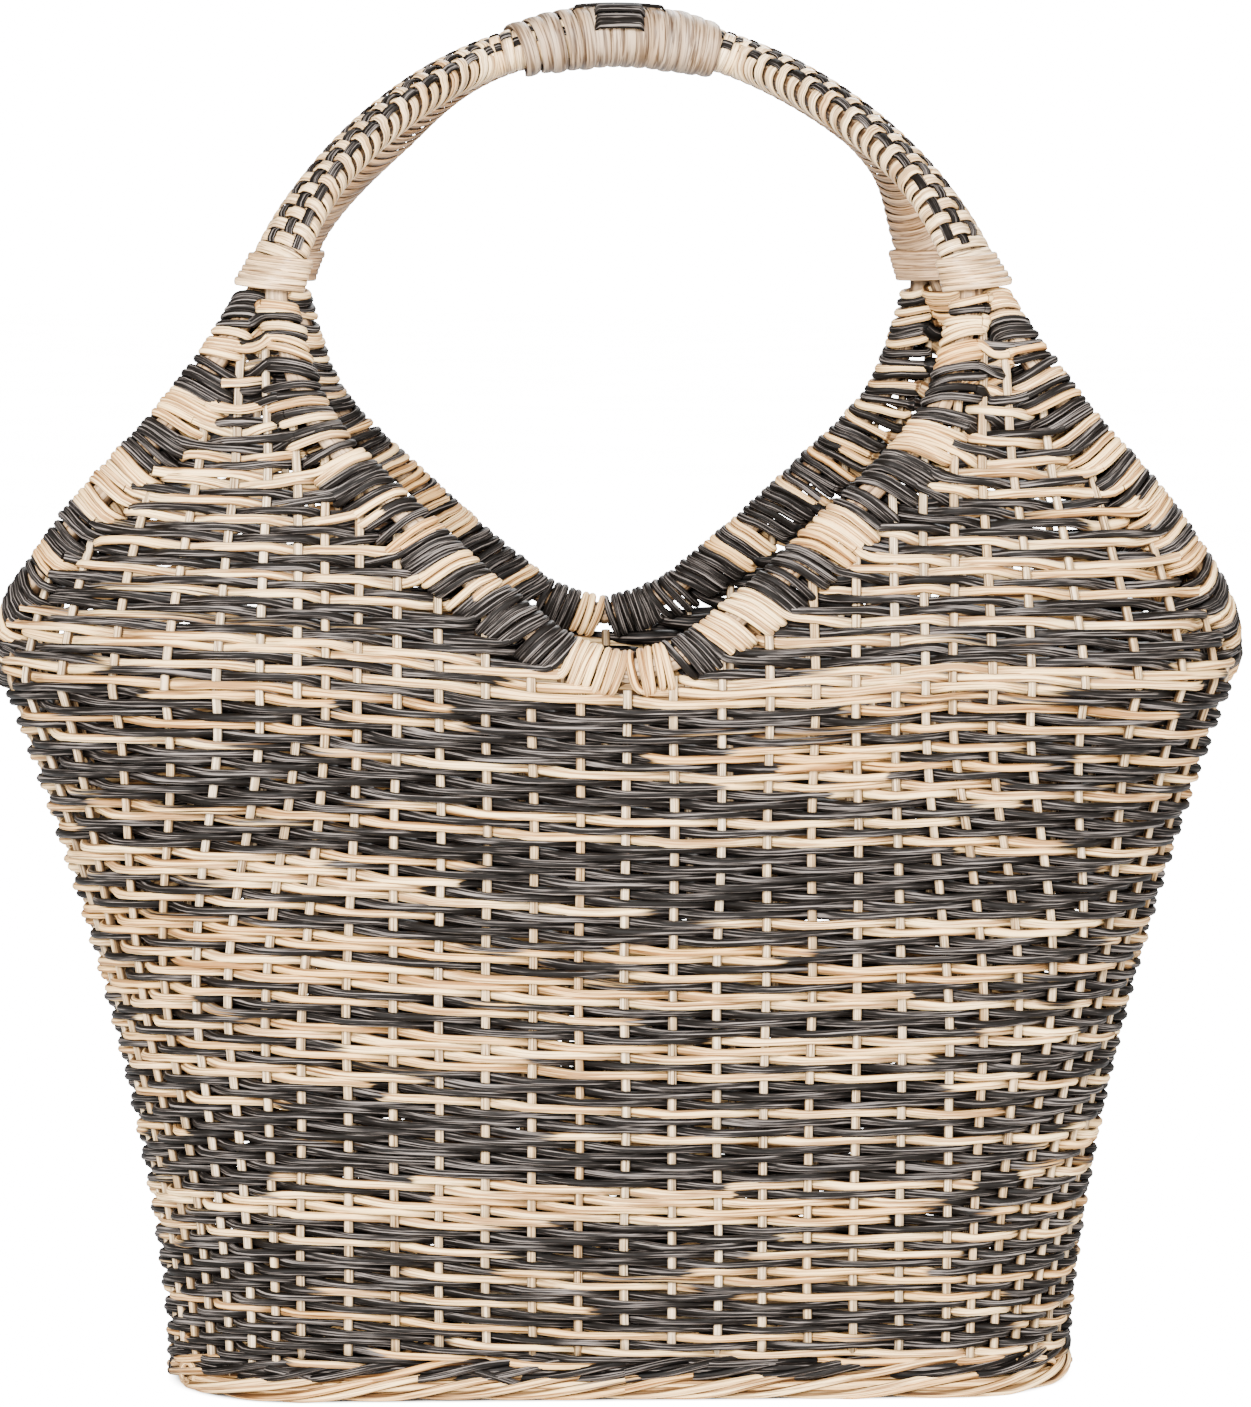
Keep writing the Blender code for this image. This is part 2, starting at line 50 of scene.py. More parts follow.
rim_low_height = 0.2500
horn_height = 0.1430
face_stakes = 7
corner_stakes = 8
side_half_share = 3.5
stakes_to_side = face_stakes + corner_stakes + side_half_share
stakes_round = 4 * stakes_to_side
flat_half_width = 0.1120
flat_half_depth = 0.0520
stake_space = flat_half_width / face_stakes
front_rim_low = 0.2570
front_rim_rise = 0.1300
front_rim_reach = 0.1135
front_reach_shares = (0.0, 0.12, 0.225, 0.33, 0.45, 0.61, 0.80, 0.90, 0.95, 0.987, 1.0)
front_rise_shares = (0.0, 0.027, 0.069, 0.142, 0.23, 0.362, 0.523, 0.638, 0.753, 0.915, 1.0)
side_rim_rise = 0.1360
side_rim_push = 0.0030
side_place_shares = (1.0, 0.935, 0.865, 0.80, 0.76, 0.72, 0.68, 0.635, 0.56, 0.52, 0.48, 0.472)
side_rise_shares = (0.0, 0.016, 0.065, 0.155, 0.225, 0.30, 0.41, 0.515, 0.67, 0.772, 0.873, 1.0)
lower_layer = 0.0148
upper_layer = 0.0206

# Canes
stake_radius = 0.0016
stake_push = 0.0006
stake_top = 0.384
stake_wander = 0.045
straight_stakes = 3.0
swing_stakes = 1.7
strand_radius = 0.0015
rod_radius = 0.0040
turn_radius = rod_radius + strand_radius
turn_skew = 0.0028
turn_pitch = 0.0030
loop_most = 0.0068
loop_dip_share = 0.35
loop_gather_share = 0.12
over_stake = stake_radius + strand_radius
points_per_stake = 5
strand_sides = 8

rng = np.random.default_rng(11)
lattice = rng.random(8192)
upward = np.array([0.0, 0.0, 1.0])


def smooth(t):
    """0 to 1 with a soft start and end."""
    t = np.clip(t, 0.0, 1.0)
    return t * t * (3 - 2 * t)


def drift(x, seed, y=None, around=0):
    """Smooth wandering values between -1 and 1 along x, or over x and y.
    Along x they come round to the start after a whole number of steps, where one is given."""
    x = np.asarray(x, float)
    i = np.floor(x).astype(int)
    f = smooth(x - i)

    def along(b):
        a, c = (i % around, (i + 1) % around) if around else (i, i + 1)
        start, end = (lattice[(k * 73 + b * 1949 + seed * 619) % 8192] for k in (a, c))
        return start * (1 - f) + end * f

    if y is None:
        value = along(0)
    else:
        y = np.asarray(y, float)
        j = np.floor(y).astype(int)
        g = smooth(y - j)
        value = along(j) * (1 - g) + along(j + 1) * g
    return value * 2 - 1


def unit(v):
    """Vectors of length one."""
    return v / np.maximum(np.linalg.norm(v, axis=-1, keepdims=True), 1e-12)


def square_to(v, along):
    """What of some vectors is square to others, at length one."""
    return unit(v - along * np.sum(v * along, axis=-1, keepdims=True))


def smooth_table(x, xs, ys):
    """Read a smooth curve through the points of a table."""
    xs = np.asarray(xs, float)
    ys = np.asarray(ys, float)
    x = np.clip(x, xs[0], xs[-1])
    last = len(xs) - 1
    before = np.maximum(np.arange(last + 1) - 1, 0)
    after = np.minimum(np.arange(last + 1) + 1, last)
    slopes = (ys[after] - ys[before]) / (xs[after] - xs[before])
    i = np.clip(np.searchsorted(xs, x, side="right") - 1, 0, last - 1)
    width = xs[i + 1] - xs[i]
    t = (x - xs[i]) / width
    start = ys[i] * (1 + 2 * t) * (1 - t) ** 2 + slopes[i] * width * t * (1 - t) ** 2
    end = ys[i + 1] * t * t * (3 - 2 * t) + slopes[i + 1] * width * t * t * (t - 1)
    return start + end


# ---- the wall ----

def wall_halves(z):
    """Half the width and half the depth of the wall at a height."""
    rise = np.clip(z / rim_low_height, 0.0, 1.0) ** flare_power
    lean = np.maximum((z - rim_low_height) / horn_height, 0.0)
    return (base_half_width + side_flare_width * rise - side_lean_width * lean ** side_lean_power,
            base_half_depth + face_flare_depth * rise - face_lean_depth * lean ** face_lean_power)


def fold(u):
    """The place in the first quarter, and whether it is mirrored left and behind."""
    v = np.mod(u, stakes_round)
    left = v > stakes_round / 2
    v = np.where(left, stakes_round - v, v)
    behind = v > stakes_to_side
    return np.where(behind, stakes_round / 2 - v, v), left, behind


def unfold(v, left, behind):
    """The place round the basket of a place in the first quarter."""
    v = np.where(behind, stakes_round / 2 - v, v)
    return np.where(left, stakes_round - v, v)


def wall_point(u, z, out=0.0):
    """Points on the wall, or out from it."""
    u, z, out = np.broadcast_arrays(*(np.asarray(value, float) for value in (u, z, out)))
    half_width, half_depth = wall_halves(z)
    corner_width = half_width - flat_half_width + out
    corner_depth = half_depth - flat_half_depth + out
    v, left, behind = fold(u)
    turn = np.clip((v - face_stakes) / corner_stakes, 0, 1) * math.pi / 2
    x = np.where(v <= face_stakes, stake_space * v, flat_half_width + corner_width * np.sin(turn))
    y = np.where(v <= face_stakes + corner_stakes,
                 flat_half_depth + corner_depth * np.cos(turn),
                 flat_half_depth * (stakes_to_side - v) / side_half_share)
    return np.stack([np.where(left, -x, x), np.where(behind, y, -y), z], axis=-1)


def wall_out(u, z):
    """Outward directions of the wall."""
    along = wall_point(u + 0.02, z) - wall_point(u - 0.02, z)
    up = wall_point(u, z + 0.001) - wall_point(u, z - 0.001)
    return unit(np.cross(unit(along), unit(up)))


def stake_place(s, z):
    """Where stake s stands at a height: it leans to the horn, and wanders a little."""
    turns = np.floor(s / stakes_round)
    q, left, behind = fold(s)
    share = np.clip((q - straight_stakes) / (stakes_to_side - straight_stakes), 0, 1)
    q = q - swing_stakes * np.sin(math.pi * share) ** 3 * smooth((z - 0.12) / 0.13)
    wander = stake_wander * drift(np.round(s, 6) % stakes_round, 5, z / 0.05)
    return unfold(q, left, behind) + turns * stakes_round + wander


# ---- paths of cane: each is points, girth, run along it, dye, tone and facing ----

def along_path(points):
    """The run along a path of points."""
    steps = np.linalg.norm(np.diff(points, axis=0), axis=1)
    return np.concatenate([[0.0], np.cumsum(steps)])


def mirrored(points, left, behind):
    """Points of the front right quarter in another quarter."""
    return points * np.array([-1.0 if left else 1.0, -1.0 if behind else 1.0, 1.0])


def cane(points, girth=1.0, dye=0.0, tone=0.5, facing=upward, run=None, quarter=(False, False)):
    """One length of cane along a path, in the front right quarter or mirrored into another."""
    points = mirrored(np.asarray(points, float), *quarter)
    count = len(points)
    made = {key: np.broadcast_to(np.asarray(value, float), count)
            for key, value in (("girth", girth), ("dye", dye), ("tone", tone))}
    return {**made, "points": points,
            "facing": np.broadcast_to(mirrored(facing, *quarter), (count, 3)),
            "run": along_path(points) + rng.random() * 7 if run is None else run}


def hand_bent(points):
    """The basket's own unevenness: horns a little apart, the back hoop a little to +X."""
    x, y, z = points.T
    apart = 0.0042 * smooth((z - 0.315) / 0.06) * smooth((0.482 - z) / 0.07)
    aside = np.clip(y / 0.06, 0, 1) * (
        0.0045 * smooth((z - 0.385) / 0.05)
        + 0.0030 * smooth((z - 0.40) / 0.03) * smooth((0.47 - z) / 0.03))
    rise = 0.0020 * smooth((z - 0.43) / 0.04)
    return points + np.stack([apart * np.clip(x / 0.09, -1, 1) + aside, 0 * y, rise], axis=1)


# ---- nodes ----

def new_group(name, kind, inputs, outputs):
    """A node group with named sockets, and its two end nodes."""
    tree = bpy.data.node_groups.new(name, kind)
    for label, socket, value in inputs:
        made = tree.interface.new_socket(label, in_out="INPUT", socket_type="NodeSocket" + socket)
        if value is not None:
            made.default_value = value
    for label, socket in outputs:
        tree.interface.new_socket(label, in_out="OUTPUT", socket_type="NodeSocket" + socket)
    return tree, tree.nodes.new("NodeGroupInput").outputs, tree.nodes.new("NodeGroupOutput")


def wire(tree, node, inputs):
    """Set a node's inputs to values, or link them to sockets."""
    for key, value in inputs.items():
        if isinstance(value, bpy.types.NodeSocket):
            tree.links.new(value, node.inputs[key])
        else:
            node.inputs[key].default_value = value


def add_node(tree, kind, inputs=None, **settings):
    """A node with its settings and inputs. Returns its outputs."""
    node = tree.nodes.new(kind)
    for key, value in settings.items():
        setattr(node, key, value)
    wire(tree, node, inputs or {})
    return node.outputs


def node_adder(tree, family="ShaderNode"):
    """A function that adds a node to a tree and returns one of its outputs."""
    def add(kind, inputs=None, out=0, **settings):
        return add_node(tree, family + kind, inputs, **settings)[out]

    return add


def make_cane_tree():
    """Geometry Nodes: cane swept along paths, thick or thin by its girth."""
    tree, given, end = new_group(
        "cane along a path", "GeometryNodeTree",
        [("Paths", "Geometry", None), ("Sides", "Int", 8), ("Width", "Float", 0.003),
         ("Thickness", "Float", 0.003), ("Follow Facing", "Bool", True),
         ("Cane", "Material", None)], [("Canes", "Geometry")])
    add, reckon = node_adder(tree, "GeometryNode"), node_adder(tree)

    def stored(name, kind):
        return add("InputNamedAttribute", {"Name": name}, data_type=kind)

    line = add("MeshToCurve", {"Mesh": given["Paths"]})
    faced = add("SetCurveNormal", {"Curve": line, "Normal": stored("facing", "FLOAT_VECTOR")},
                mode="FREE")
    calm = add("SetCurveNormal", {"Curve": line}, mode="MINIMUM_TWIST")
    path = add("Switch", {"Switch": given["Follow Facing"], "False": calm, "True": faced},
               input_type="GEOMETRY")
    ring = add("CurvePrimitiveCircle", {"Radius": 1.0, "Resolution": given["Sides"]},
               mode="RADIUS")
    ring = add("StoreNamedAttribute", {"Geometry": ring, "Name": "round",
                                       "Value": add("InputPosition")},
               data_type="FLOAT_VECTOR", domain="POINT")
    size = reckon("CombineXYZ", {"X": given["Thickness"], "Y": given["Width"], "Z": 1.0})
    halved = reckon("VectorMath", {0: size, 1: (0.5, 0.5, 1.0)}, operation="MULTIPLY")
    ring = add("Transform", {"Geometry": ring, "Scale": halved})
    swept = add("CurveToMesh", {"Curve": path, "Profile Curve": ring, "Fill Caps": True,
                                "Scale": stored("girth", "FLOAT")})
    real = add("RealizeInstances", {"Geometry": add("SetShadeSmooth", {"Geometry": swept})})
    wire(tree, end, {"Canes": add("SetMaterial", {"Geometry": real, "Material": given["Cane"]})})
    return tree


cane_tree = make_cane_tree()
cane_inputs = {item.name: item.identifier for item in cane_tree.interface.items_tree
               if item.in_out == "INPUT"}


def put(name, data):
    """A new object in the scene."""
    thing = bpy.data.objects.new(name, data)
    bpy.context.scene.collection.objects.link(thing)
    return thing


def sweep_canes(name, canes, material, nodes, width=2 * strand_radius,
                thickness=None, sides=strand_sides, follow=True):
    """Make one piece of many lengths of cane, and let it stand for its CAD nodes.
    The cane is as thick as it is wide where no thickness is given."""
    canes = [c for c in canes if len(c["points"]) > 1]
    whole = {key: np.concatenate([c[key] for c in canes]) for key in canes[0]}
    points = hand_bent(whole["points"])
    index = np.arange(len(points))
    ends = np.cumsum([len(c["points"]) for c in canes]) - 1
    edges = np.delete(np.stack([index[:-1], index[1:]], axis=1), ends[:-1], axis=0)
    path = bpy.data.meshes.new(name + "_paths")
    path.vertices.add(len(points))
    path.vertices.foreach_set("co", points.astype(np.float32).ravel())
    path.edges.add(len(edges))
    path.edges.foreach_set("vertices", edges.astype(np.int32).ravel())
    strand = np.stack([whole["run"], whole["dye"], whole["tone"]], axis=1)
    for label, kind, field, values in (("girth", "FLOAT", "value", whole["girth"]),
                                       ("facing", "FLOAT_VECTOR", "vector", whole["facing"]),
                                       ("strand", "FLOAT_VECTOR", "vector", strand)):
        path.attributes.new(label, kind, "POINT").data.foreach_set(
            field, values.astype(np.float32).ravel())
    helper = put(name + "_paths", path)
    modifier = helper.modifiers.new("canes", "NODES")
    modifier.node_group = cane_tree
    for label, value in (("Sides", sides), ("Width", width), ("Thickness", thickness or width),
                         ("Follow Facing", follow), ("Cane", material)):
        modifier[cane_inputs[label]] = value
    graph = bpy.context.evaluated_depsgraph_get()
    mesh = bpy.data.meshes.new_from_object(helper.evaluated_get(graph), depsgraph=graph)
    helper.modifiers.remove(modifier)
    bpy.data.objects.remove(helper, do_unlink=True)
    bpy.data.meshes.remove(path)
    if "girth" in mesh.attributes:
        mesh.attributes.remove(mesh.attributes["girth"])
    mesh.name = name
    piece = put(name, mesh)
    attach(piece, "root")
    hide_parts(*nodes)


# ---- materials ----
white = (1.0, 1.0, 1.0)


def make_grain_and_shade_group():
    """Streaks along a cane, from the way round it and the run along it, and painted shade where
    its surface turns away from its facing.
    """
    labels = ("Dye", "Tone", "Streak", "Hair", "Blotch", "Grain", "Painted Crevice Shade")
    tree, given, end = new_group(
        "cane grain and painted shade", "ShaderNodeTree",
        [("Streak Fineness", "Float", 1.8), ("Streak Length", "Float", 0.02)],
        [(label, "Float") for label in labels])
    add = node_adder(tree)

    def stored(name):
        return add("Attribute", out="Vector", attribute_name=name)

    turned = add("VectorMath", {0: stored("facing"), 1: add("NewGeometry", out="Normal")},
                 "Value", operation="DOT_PRODUCT")
    # Painted shade: darker where the surface turns away from the cane's facing, at the edges
    # between strands and on the inner side; faces that look straight inward get some of their
    # lightness back.
    turned_away_shade, inward_shade_eased = (add("MapRange", {"Value": turned, "From Min": low, "From Max": high,
                                      "To Max": most}, interpolation_type="SMOOTHSTEP")
                     for low, high, most in ((0.62, -0.05, 1.0), (-0.45, -0.95, 0.45)))
    strand = add_node(tree, "ShaderNodeSeparateXYZ", {0: stored("strand")})
    around = add("VectorMath", {0: stored("round"), "Scale": given["Streak Fineness"]},
                 operation="SCALE")
    shape = add_node(tree, "ShaderNodeSeparateXYZ", {0: around})
    length = add("Math", {0: strand["X"], 1: given["Streak Length"]}, operation="DIVIDE")
    place = add("CombineXYZ", {"X": shape["X"], "Y": shape["Y"], "Z": length})
    found = {"Dye": strand["Y"], "Tone": strand["Z"],
             "Painted Crevice Shade": add("Math", {0: turned_away_shade, 1: inward_shade_eased}, operation="SUBTRACT")}
    for label, scale, detail in (("Streak", 1.0, 2.0), ("Hair", 2.1, 3.0),
                                 ("Blotch", 0.30, 2.0), ("Grain", 1.3, 1.0)):
        found[label] = add("TexNoise", {"Scale": scale, "Detail": detail, "Roughness": 0.6,
                                        "Vector": place}, "Fac")
    wire(tree, end, found)
    return tree


def make_dye_group():
    """How much dark dye shows, with its edges broken up along the fibres."""
    tree, given, end = new_group(
        "dye edge", "ShaderNodeTree",
        [("Dye", "Float", 0.0), ("Streak", "Float", 0.5), ("Hair", "Float", 0.5),
         ("Streak Share", "Float", 1.1)], [("Dark", "Float")])
    add = node_adder(tree)

    def count(kind, a, b):
        return add("Math", {0: a, 1: b}, operation=kind)

    hair = count("MULTIPLY", count("SUBTRACT", given["Hair"], 0.5), 0.5)
    both = count("ADD", count("SUBTRACT", given["Streak"], 0.5), hair)
    level = count("ADD", given["Dye"], count("MULTIPLY", both, given["Streak Share"]))
    wire(tree, end, {"Dark": add("MapRange", {"Value": level, "From Min": 0.38,
                                              "From Max": 0.62},
                                 interpolation_type="SMOOTHSTEP")})
    return tree


grain_and_shade_group = make_grain_and_shade_group()
dye_group = make_dye_group()


def colour_ramp(tree, value, *stops):
    """A colour read from stops by a value between 0 and 1."""
    made = add_node(tree, "ShaderNodeValToRGB", {0: value})[0]
    elements = made.node.color_ramp.elements
    while len(elements) < len(stops):
        elements.new(0.5)
    for element, (place, colour) in zip(elements, stops):
        element.position = place
        element.color = (*colour, 1.0)
    return made


def mix_colour(tree, kind, share, a, b):
    """Mix two colours: share and b are a value or a socket."""
    return add_node(tree, "ShaderNodeMix",
                    {0: share, 6: a, 7: (*b, 1.0) if isinstance(b, tuple) else b},
                    data_type="RGBA", blend_type=kind, clamp_result=True)[2]


def new_material(name):
    """A material, its nodes and its shader."""
    material = bpy.data.materials.new(name)
    material.use_nodes = True
    tree = material.node_tree
    return material, tree, tree.nodes["Principled BSDF"]


def brighter(colour, times):
    """A colour made brighter."""
    return tuple(min(c * times, 1.0) for c in colour)


def cane_material(name, pale, shade, dark=None, dark_shade=None, roughness=0.55,
                  fineness=1.5, streak_length=0.055, bump=0.5, always_dark=False, shine=0.2):
    """A cane finish: natural cane, dyed cane, or both in one strand, darkened with painted shade
    at its edges and on its inner side.
    """
    material, tree, shader = new_material(name)
    grain_and_shade = add_node(tree, "ShaderNodeGroup", {"Streak Fineness": fineness,
                                               "Streak Length": streak_length},
                     node_tree=grain_and_shade_group)
    colour = colour_ramp(tree, grain_and_shade["Grain"], (0.42, shade), (0.49, pale),
                         (0.58, brighter(pale, 1.30)))
    for label, share, stops in (
            ("Tone", 1.0, ((0.0, (0.78, 0.66, 0.50)), (0.45, (0.97, 0.94, 0.88)), (1.0, white))),
            ("Blotch", 0.9, ((0.33, (0.80, 0.70, 0.56)), (0.55, white))),
            ("Hair", 0.8, ((0.39, (0.16, 0.10, 0.06)), (0.46, white)))):
        colour = mix_colour(tree, "MULTIPLY", share, colour,
                            colour_ramp(tree, grain_and_shade[label], *stops))
    if dark:
        dyed = colour_ramp(tree, grain_and_shade["Hair"], (0.46, dark), (0.54, dark_shade),
                           (0.64, brighter(dark_shade, 20.0)))
        if always_dark:
            colour = dyed
        else:
            edge = add_node(tree, "ShaderNodeGroup", node_tree=dye_group, inputs={
                label: grain_and_shade[label] for label in ("Dye", "Streak", "Hair")})
            colour = mix_colour(tree, "MIX", edge["Dark"], colour, dyed)
    # Painted shade: the colour is pulled towards dark brown (0.15, 0.12, 0.10) at strand edges
    # and on the inner side.
    colour = mix_colour(tree, "MULTIPLY", grain_and_shade["Painted Crevice Shade"], colour, (0.15, 0.12, 0.10))
    add = node_adder(tree)
    dull = add("MapRange", {"Value": grain_and_shade["Hair"], "To Min": roughness - 0.12,
                            "To Max": roughness + 0.15})
    ridge = add("Bump", {"Strength": bump, "Distance": 0.0003, "Height": grain_and_shade["Hair"]})
    wire(tree, shader, {"Base Color": colour, "Specular IOR Level": shine,
                        "Roughness": dull, "Normal": ridge})
    return material


# Natural cane, its shade, dyed cane and its shade
dyed_cane = ((0.82, 0.55, 0.275), (0.38, 0.215, 0.092),
             (0.0040, 0.0028, 0.0020), (0.0090, 0.0076, 0.0068))
flat_cane = {"fineness": 1.6, "streak_length": 0.03}
woven_cane = cane_material("woven_cane", *dyed_cane, shine=0.08, bump=0.7)
stake_finish = cane_material("stake_cane", (0.62, 0.49, 0.33), (0.38, 0.28, 0.17), shine=0.1)
# The crown's cane is browner than the handle's, and made darker with painted shade for the shade
# the crown lies in.
crown_brown_and_shaded_finish = cane_material("crown_cane", (0.325, 0.237, 0.160), (0.152, 0.103, 0.067),
                             roughness=0.5, bump=0.3, **flat_cane)
handle_finish = cane_material("handle_cane", (0.80, 0.575, 0.335), (0.46, 0.31, 0.17),
                              roughness=0.42, bump=0.25, shine=0.3, **flat_cane)
# The back hoop and back collars: a darker cane than the front, partly its own darker tone and
# partly painted shade.
back_dark_and_shaded_finish = cane_material("back_handle_cane_dark_and_shaded", (0.42, 0.27, 0.155),
                                   (0.24, 0.145, 0.078), roughness=0.5, bump=0.25, shine=0.2,
                                   **flat_cane)
collar_finish = cane_material("collar_cane", (0.72, 0.50, 0.285), (0.43, 0.28, 0.15),
                              roughness=0.42, bump=0.25, shine=0.35, **flat_cane)
strip_finish = cane_material("dyed_strip", *dyed_cane, roughness=0.7, always_dark=True,
                             shine=0.05)
rod_finish = cane_material("rim_rod_cane", (0.50, 0.35, 0.22), (0.36, 0.24, 0.14))

# ---- rows of the weave ----
weave_start = 0.0112
row_first_height = -0.0200
row_last_height = 0.42
pitch_heights = (-0.02, 0.03, 0.08, 0.23, 0.26, 0.32, 0.35, 0.38, 0.42)
row_pitches = (0.0029, 0.0029, 0.00320, 0.00320, 0.0033, 0.0034, 0.0036, 0.0040, 0.0042)
row_tilt = 0.0475
arch_heights = (0.0, 0.20, 0.25, 0.30, 0.34, 0.42)
arch_rises = (0.0045, 0.0045, 0.0062, 0.0036, 0.0005, -0.0010)
sag_heights = (0.26, 0.30, 0.34, 0.42)
sag_drops = (0.0, 0.0030, 0.0055, 0.0055)
span_heights = (0.25, 0.306, 0.34, 0.38)
span_halves = (9.2, 4.8, 2.6, 1.2)
horn_middle = 9.6
behind_drop = 0.0007
float_slant_share = 0.10
behind_phase = 1

levels = [row_first_height]
while levels[-1] < row_last_height:
    levels.append(levels[-1] + np.interp(levels[-1], pitch_heights, row_pitches))
levels = np.array(levels)


def row_height(level, s):
    """The height of a row at a stake: rows tilt, arch over the corners and sag in a horn."""
    q = fold(s)[0]
    place = wall_point(stake_place(s, level), level)
    tilt = -row_tilt * place[..., 0] * (1 - smooth((level - 0.24) / 0.18))
    arch = np.interp(level, arch_heights, arch_rises)
    arch = arch * (0.5 - 0.5 * np.cos(2 * math.pi * q / stakes_to_side))
    reach = np.clip(np.abs(q - horn_middle) / np.interp(level, span_heights, span_halves),
                    0, 1.3)
    sag = np.interp(level, sag_heights, sag_drops) * reach ** 2
    ripple = 0.0004 * drift(s / 2.3, 9, level / 0.004)
    return level + tilt + arch + sag + ripple


def weave_swing(phase):
    """How far a strand lies out from the stakes, by stakes since it went behind one."""
    near = np.minimum(phase, 3.0 - phase)
    swing = over_stake * (2 * smooth(near) - 1)
    bulge = np.where(near > 1, 0.10 * over_stake * np.sin(math.pi * (phase - 1)), 0.0)
    slant = 0.00022 * np.sin(2 * math.pi * phase / 3)
    return swing + bulge + slant


# ---- rims: the middle line of each rod in the first quarter ----

def rim_probe(front, share):
    """u and z of a rim rod at shares of its way up."""
    share = np.asarray(share, float)
    if not front:
        return (stakes_to_side * smooth_table(share, side_rise_shares, side_place_shares),
                rim_low_height + side_rim_rise * share)
    x = front_rim_reach * share
    z = front_rim_low + front_rim_rise * smooth_table(share, front_reach_shares,
                                                      front_rise_shares)
    corner_width = wall_halves(z)[0] - flat_half_width
    turn = np.arcsin(np.clip((x - flat_half_width) / corner_width, 0, 1))
    return np.where(x <= flat_half_width, x / stake_space,
                    face_stakes + corner_stakes * turn / (math.pi / 2)), z


def loop_reach(z, low):
    """How far the turns round a rim reach into the weave: less in a dip and at a tip."""
    share = np.linspace(0, 1, 200)
    front_u, front_z = rim_probe(True, share)
    side_u, side_z = rim_probe(False, share)
    gap = np.interp(z, side_z, side_u) - np.interp(z, front_z, front_u)
    near, next_to = (wall_point(u, z) for u in (horn_middle - 0.1, horn_middle + 0.1))
    step = np.linalg.norm(next_to - near, axis=-1) / 0.2
    room = np.clip(gap * step / 2 - turn_radius - 0.0040, 0.0004, loop_most)
    return room * (loop_dip_share + (1 - loop_dip_share) * smooth((z - low) / 0.035))


# The hoops: how far they start from the tips of the front rim, then what follows from it
hoop_start = math.radians(20)
hoop_outset, hoop_inset, hoop_rise = 0.0021, 0.0033, 0.0041
horn_tip = wall_point(*rim_probe(True, 1.0))
hoop_radius = (horn_tip[0] + hoop_outset) / math.cos(hoop_start)
hoop_middle = horn_tip[2] + hoop_rise - hoop_radius * math.sin(hoop_start)
hoop_end_depth = -horn_tip[1] - hoop_inset
hoop_crown_depth = 0.0106
hoop_join_share = 0.30
hoop_crown_half = 0.0100
hoop_end_half = 0.0122
hoop_half_thickness = 0.0071


def hoop_point(t):
    """Middle line of the front hoop, t from 0 at the right to 1 at the left."""
    turn = hoop_start + (math.pi - 2 * hoop_start) * t
    side = np.maximum(np.abs(2 * t - 1) - hoop_join_share, 0) / (1 - hoop_join_share)
    y = hoop_crown_depth + (hoop_end_depth - hoop_crown_depth) * smooth(side ** 0.75)
    return np.stack([hoop_radius * np.cos(turn), -y, hoop_middle + hoop_radius * np.sin(turn)],
                    axis=-1)


def hoop_frame(t):
    """Point, along, across, out and half width of the front hoop."""
    t = np.asarray(t, float)
    step = 0.01
    along = unit(hoop_point(np.clip(t + step, 0, 1)) - hoop_point(np.clip(t - step, 0, 1)))
    point = hoop_point(np.clip(t, 0, 1))
    side = np.abs(2 * np.clip(t, 0, 1) - 1)
    outward = np.stack([point[..., 0], point[..., 1] * side ** 2, point[..., 2] - hoop_middle],
                       axis=-1)
    out = square_to(outward, along)
    half = hoop_crown_half + (hoop_end_half - hoop_crown_half) * side
    return point, along, np.cross(along, out), out, half


def resample(run, values, at):
    """Rows of values read at other runs."""
    return np.stack([np.interp(at, run, column) for column in values.T], axis=1)


# Where a rim rod leaves the wall, and where it ends beside the start of a hoop
rod_leave_share = {True: 0.975, False: 0.86}
rod_end_aside = 0.0044
rod_end_below = 0.0022
rod_bend_share = 0.35


def rim_rod_line(front):
    """Run, middle line, outward and away-from-weave directions of half a rim rod."""
    last = rod_leave_share[front]
    t = np.linspace(0, 1, 90)
    share = (1 - (1 - t) ** 1.6) * last if front else t ** 1.3 * last
    u, z = rim_probe(front, share)
    push = 0.0 if front else side_rim_push * (1 - share) ** 2
    line = wall_point(u, z, push)
    out = wall_out(u, z)
    point, along, across = hoop_frame(0.0)[:3]
    tip = point + across * (-rod_end_aside if front else rod_end_aside) - along * rod_end_below
    ease = np.linspace(0, 1, 12)[1:, None]
    start = line[-1]
    pull = (line[-1] - line[-3]) / np.linalg.norm(line[-1] - line[-3])
    reach = np.linalg.norm(tip - start)
    a = start + pull * reach * rod_bend_share
    b = tip - along * reach * rod_bend_share
    curve = ((1 - ease) ** 3 * start + 3 * (1 - ease) ** 2 * ease * a
             + 3 * (1 - ease) * ease ** 2 * b + ease ** 3 * tip)
    line = np.concatenate([line, curve])
    out = np.concatenate([out, np.repeat(out[-1:], len(curve), axis=0)])
    run = along_path(line)
    even = np.linspace(0, run[-1], 160)
    line = resample(run, line, even)
    out = unit(resample(run, out, even))
    way = unit(np.gradient(line, axis=0))
    out = square_to(out, way)
    return {"run": even, "line": line, "out": out,
            "away": np.cross(out, way) if front else np.cross(way, out)}


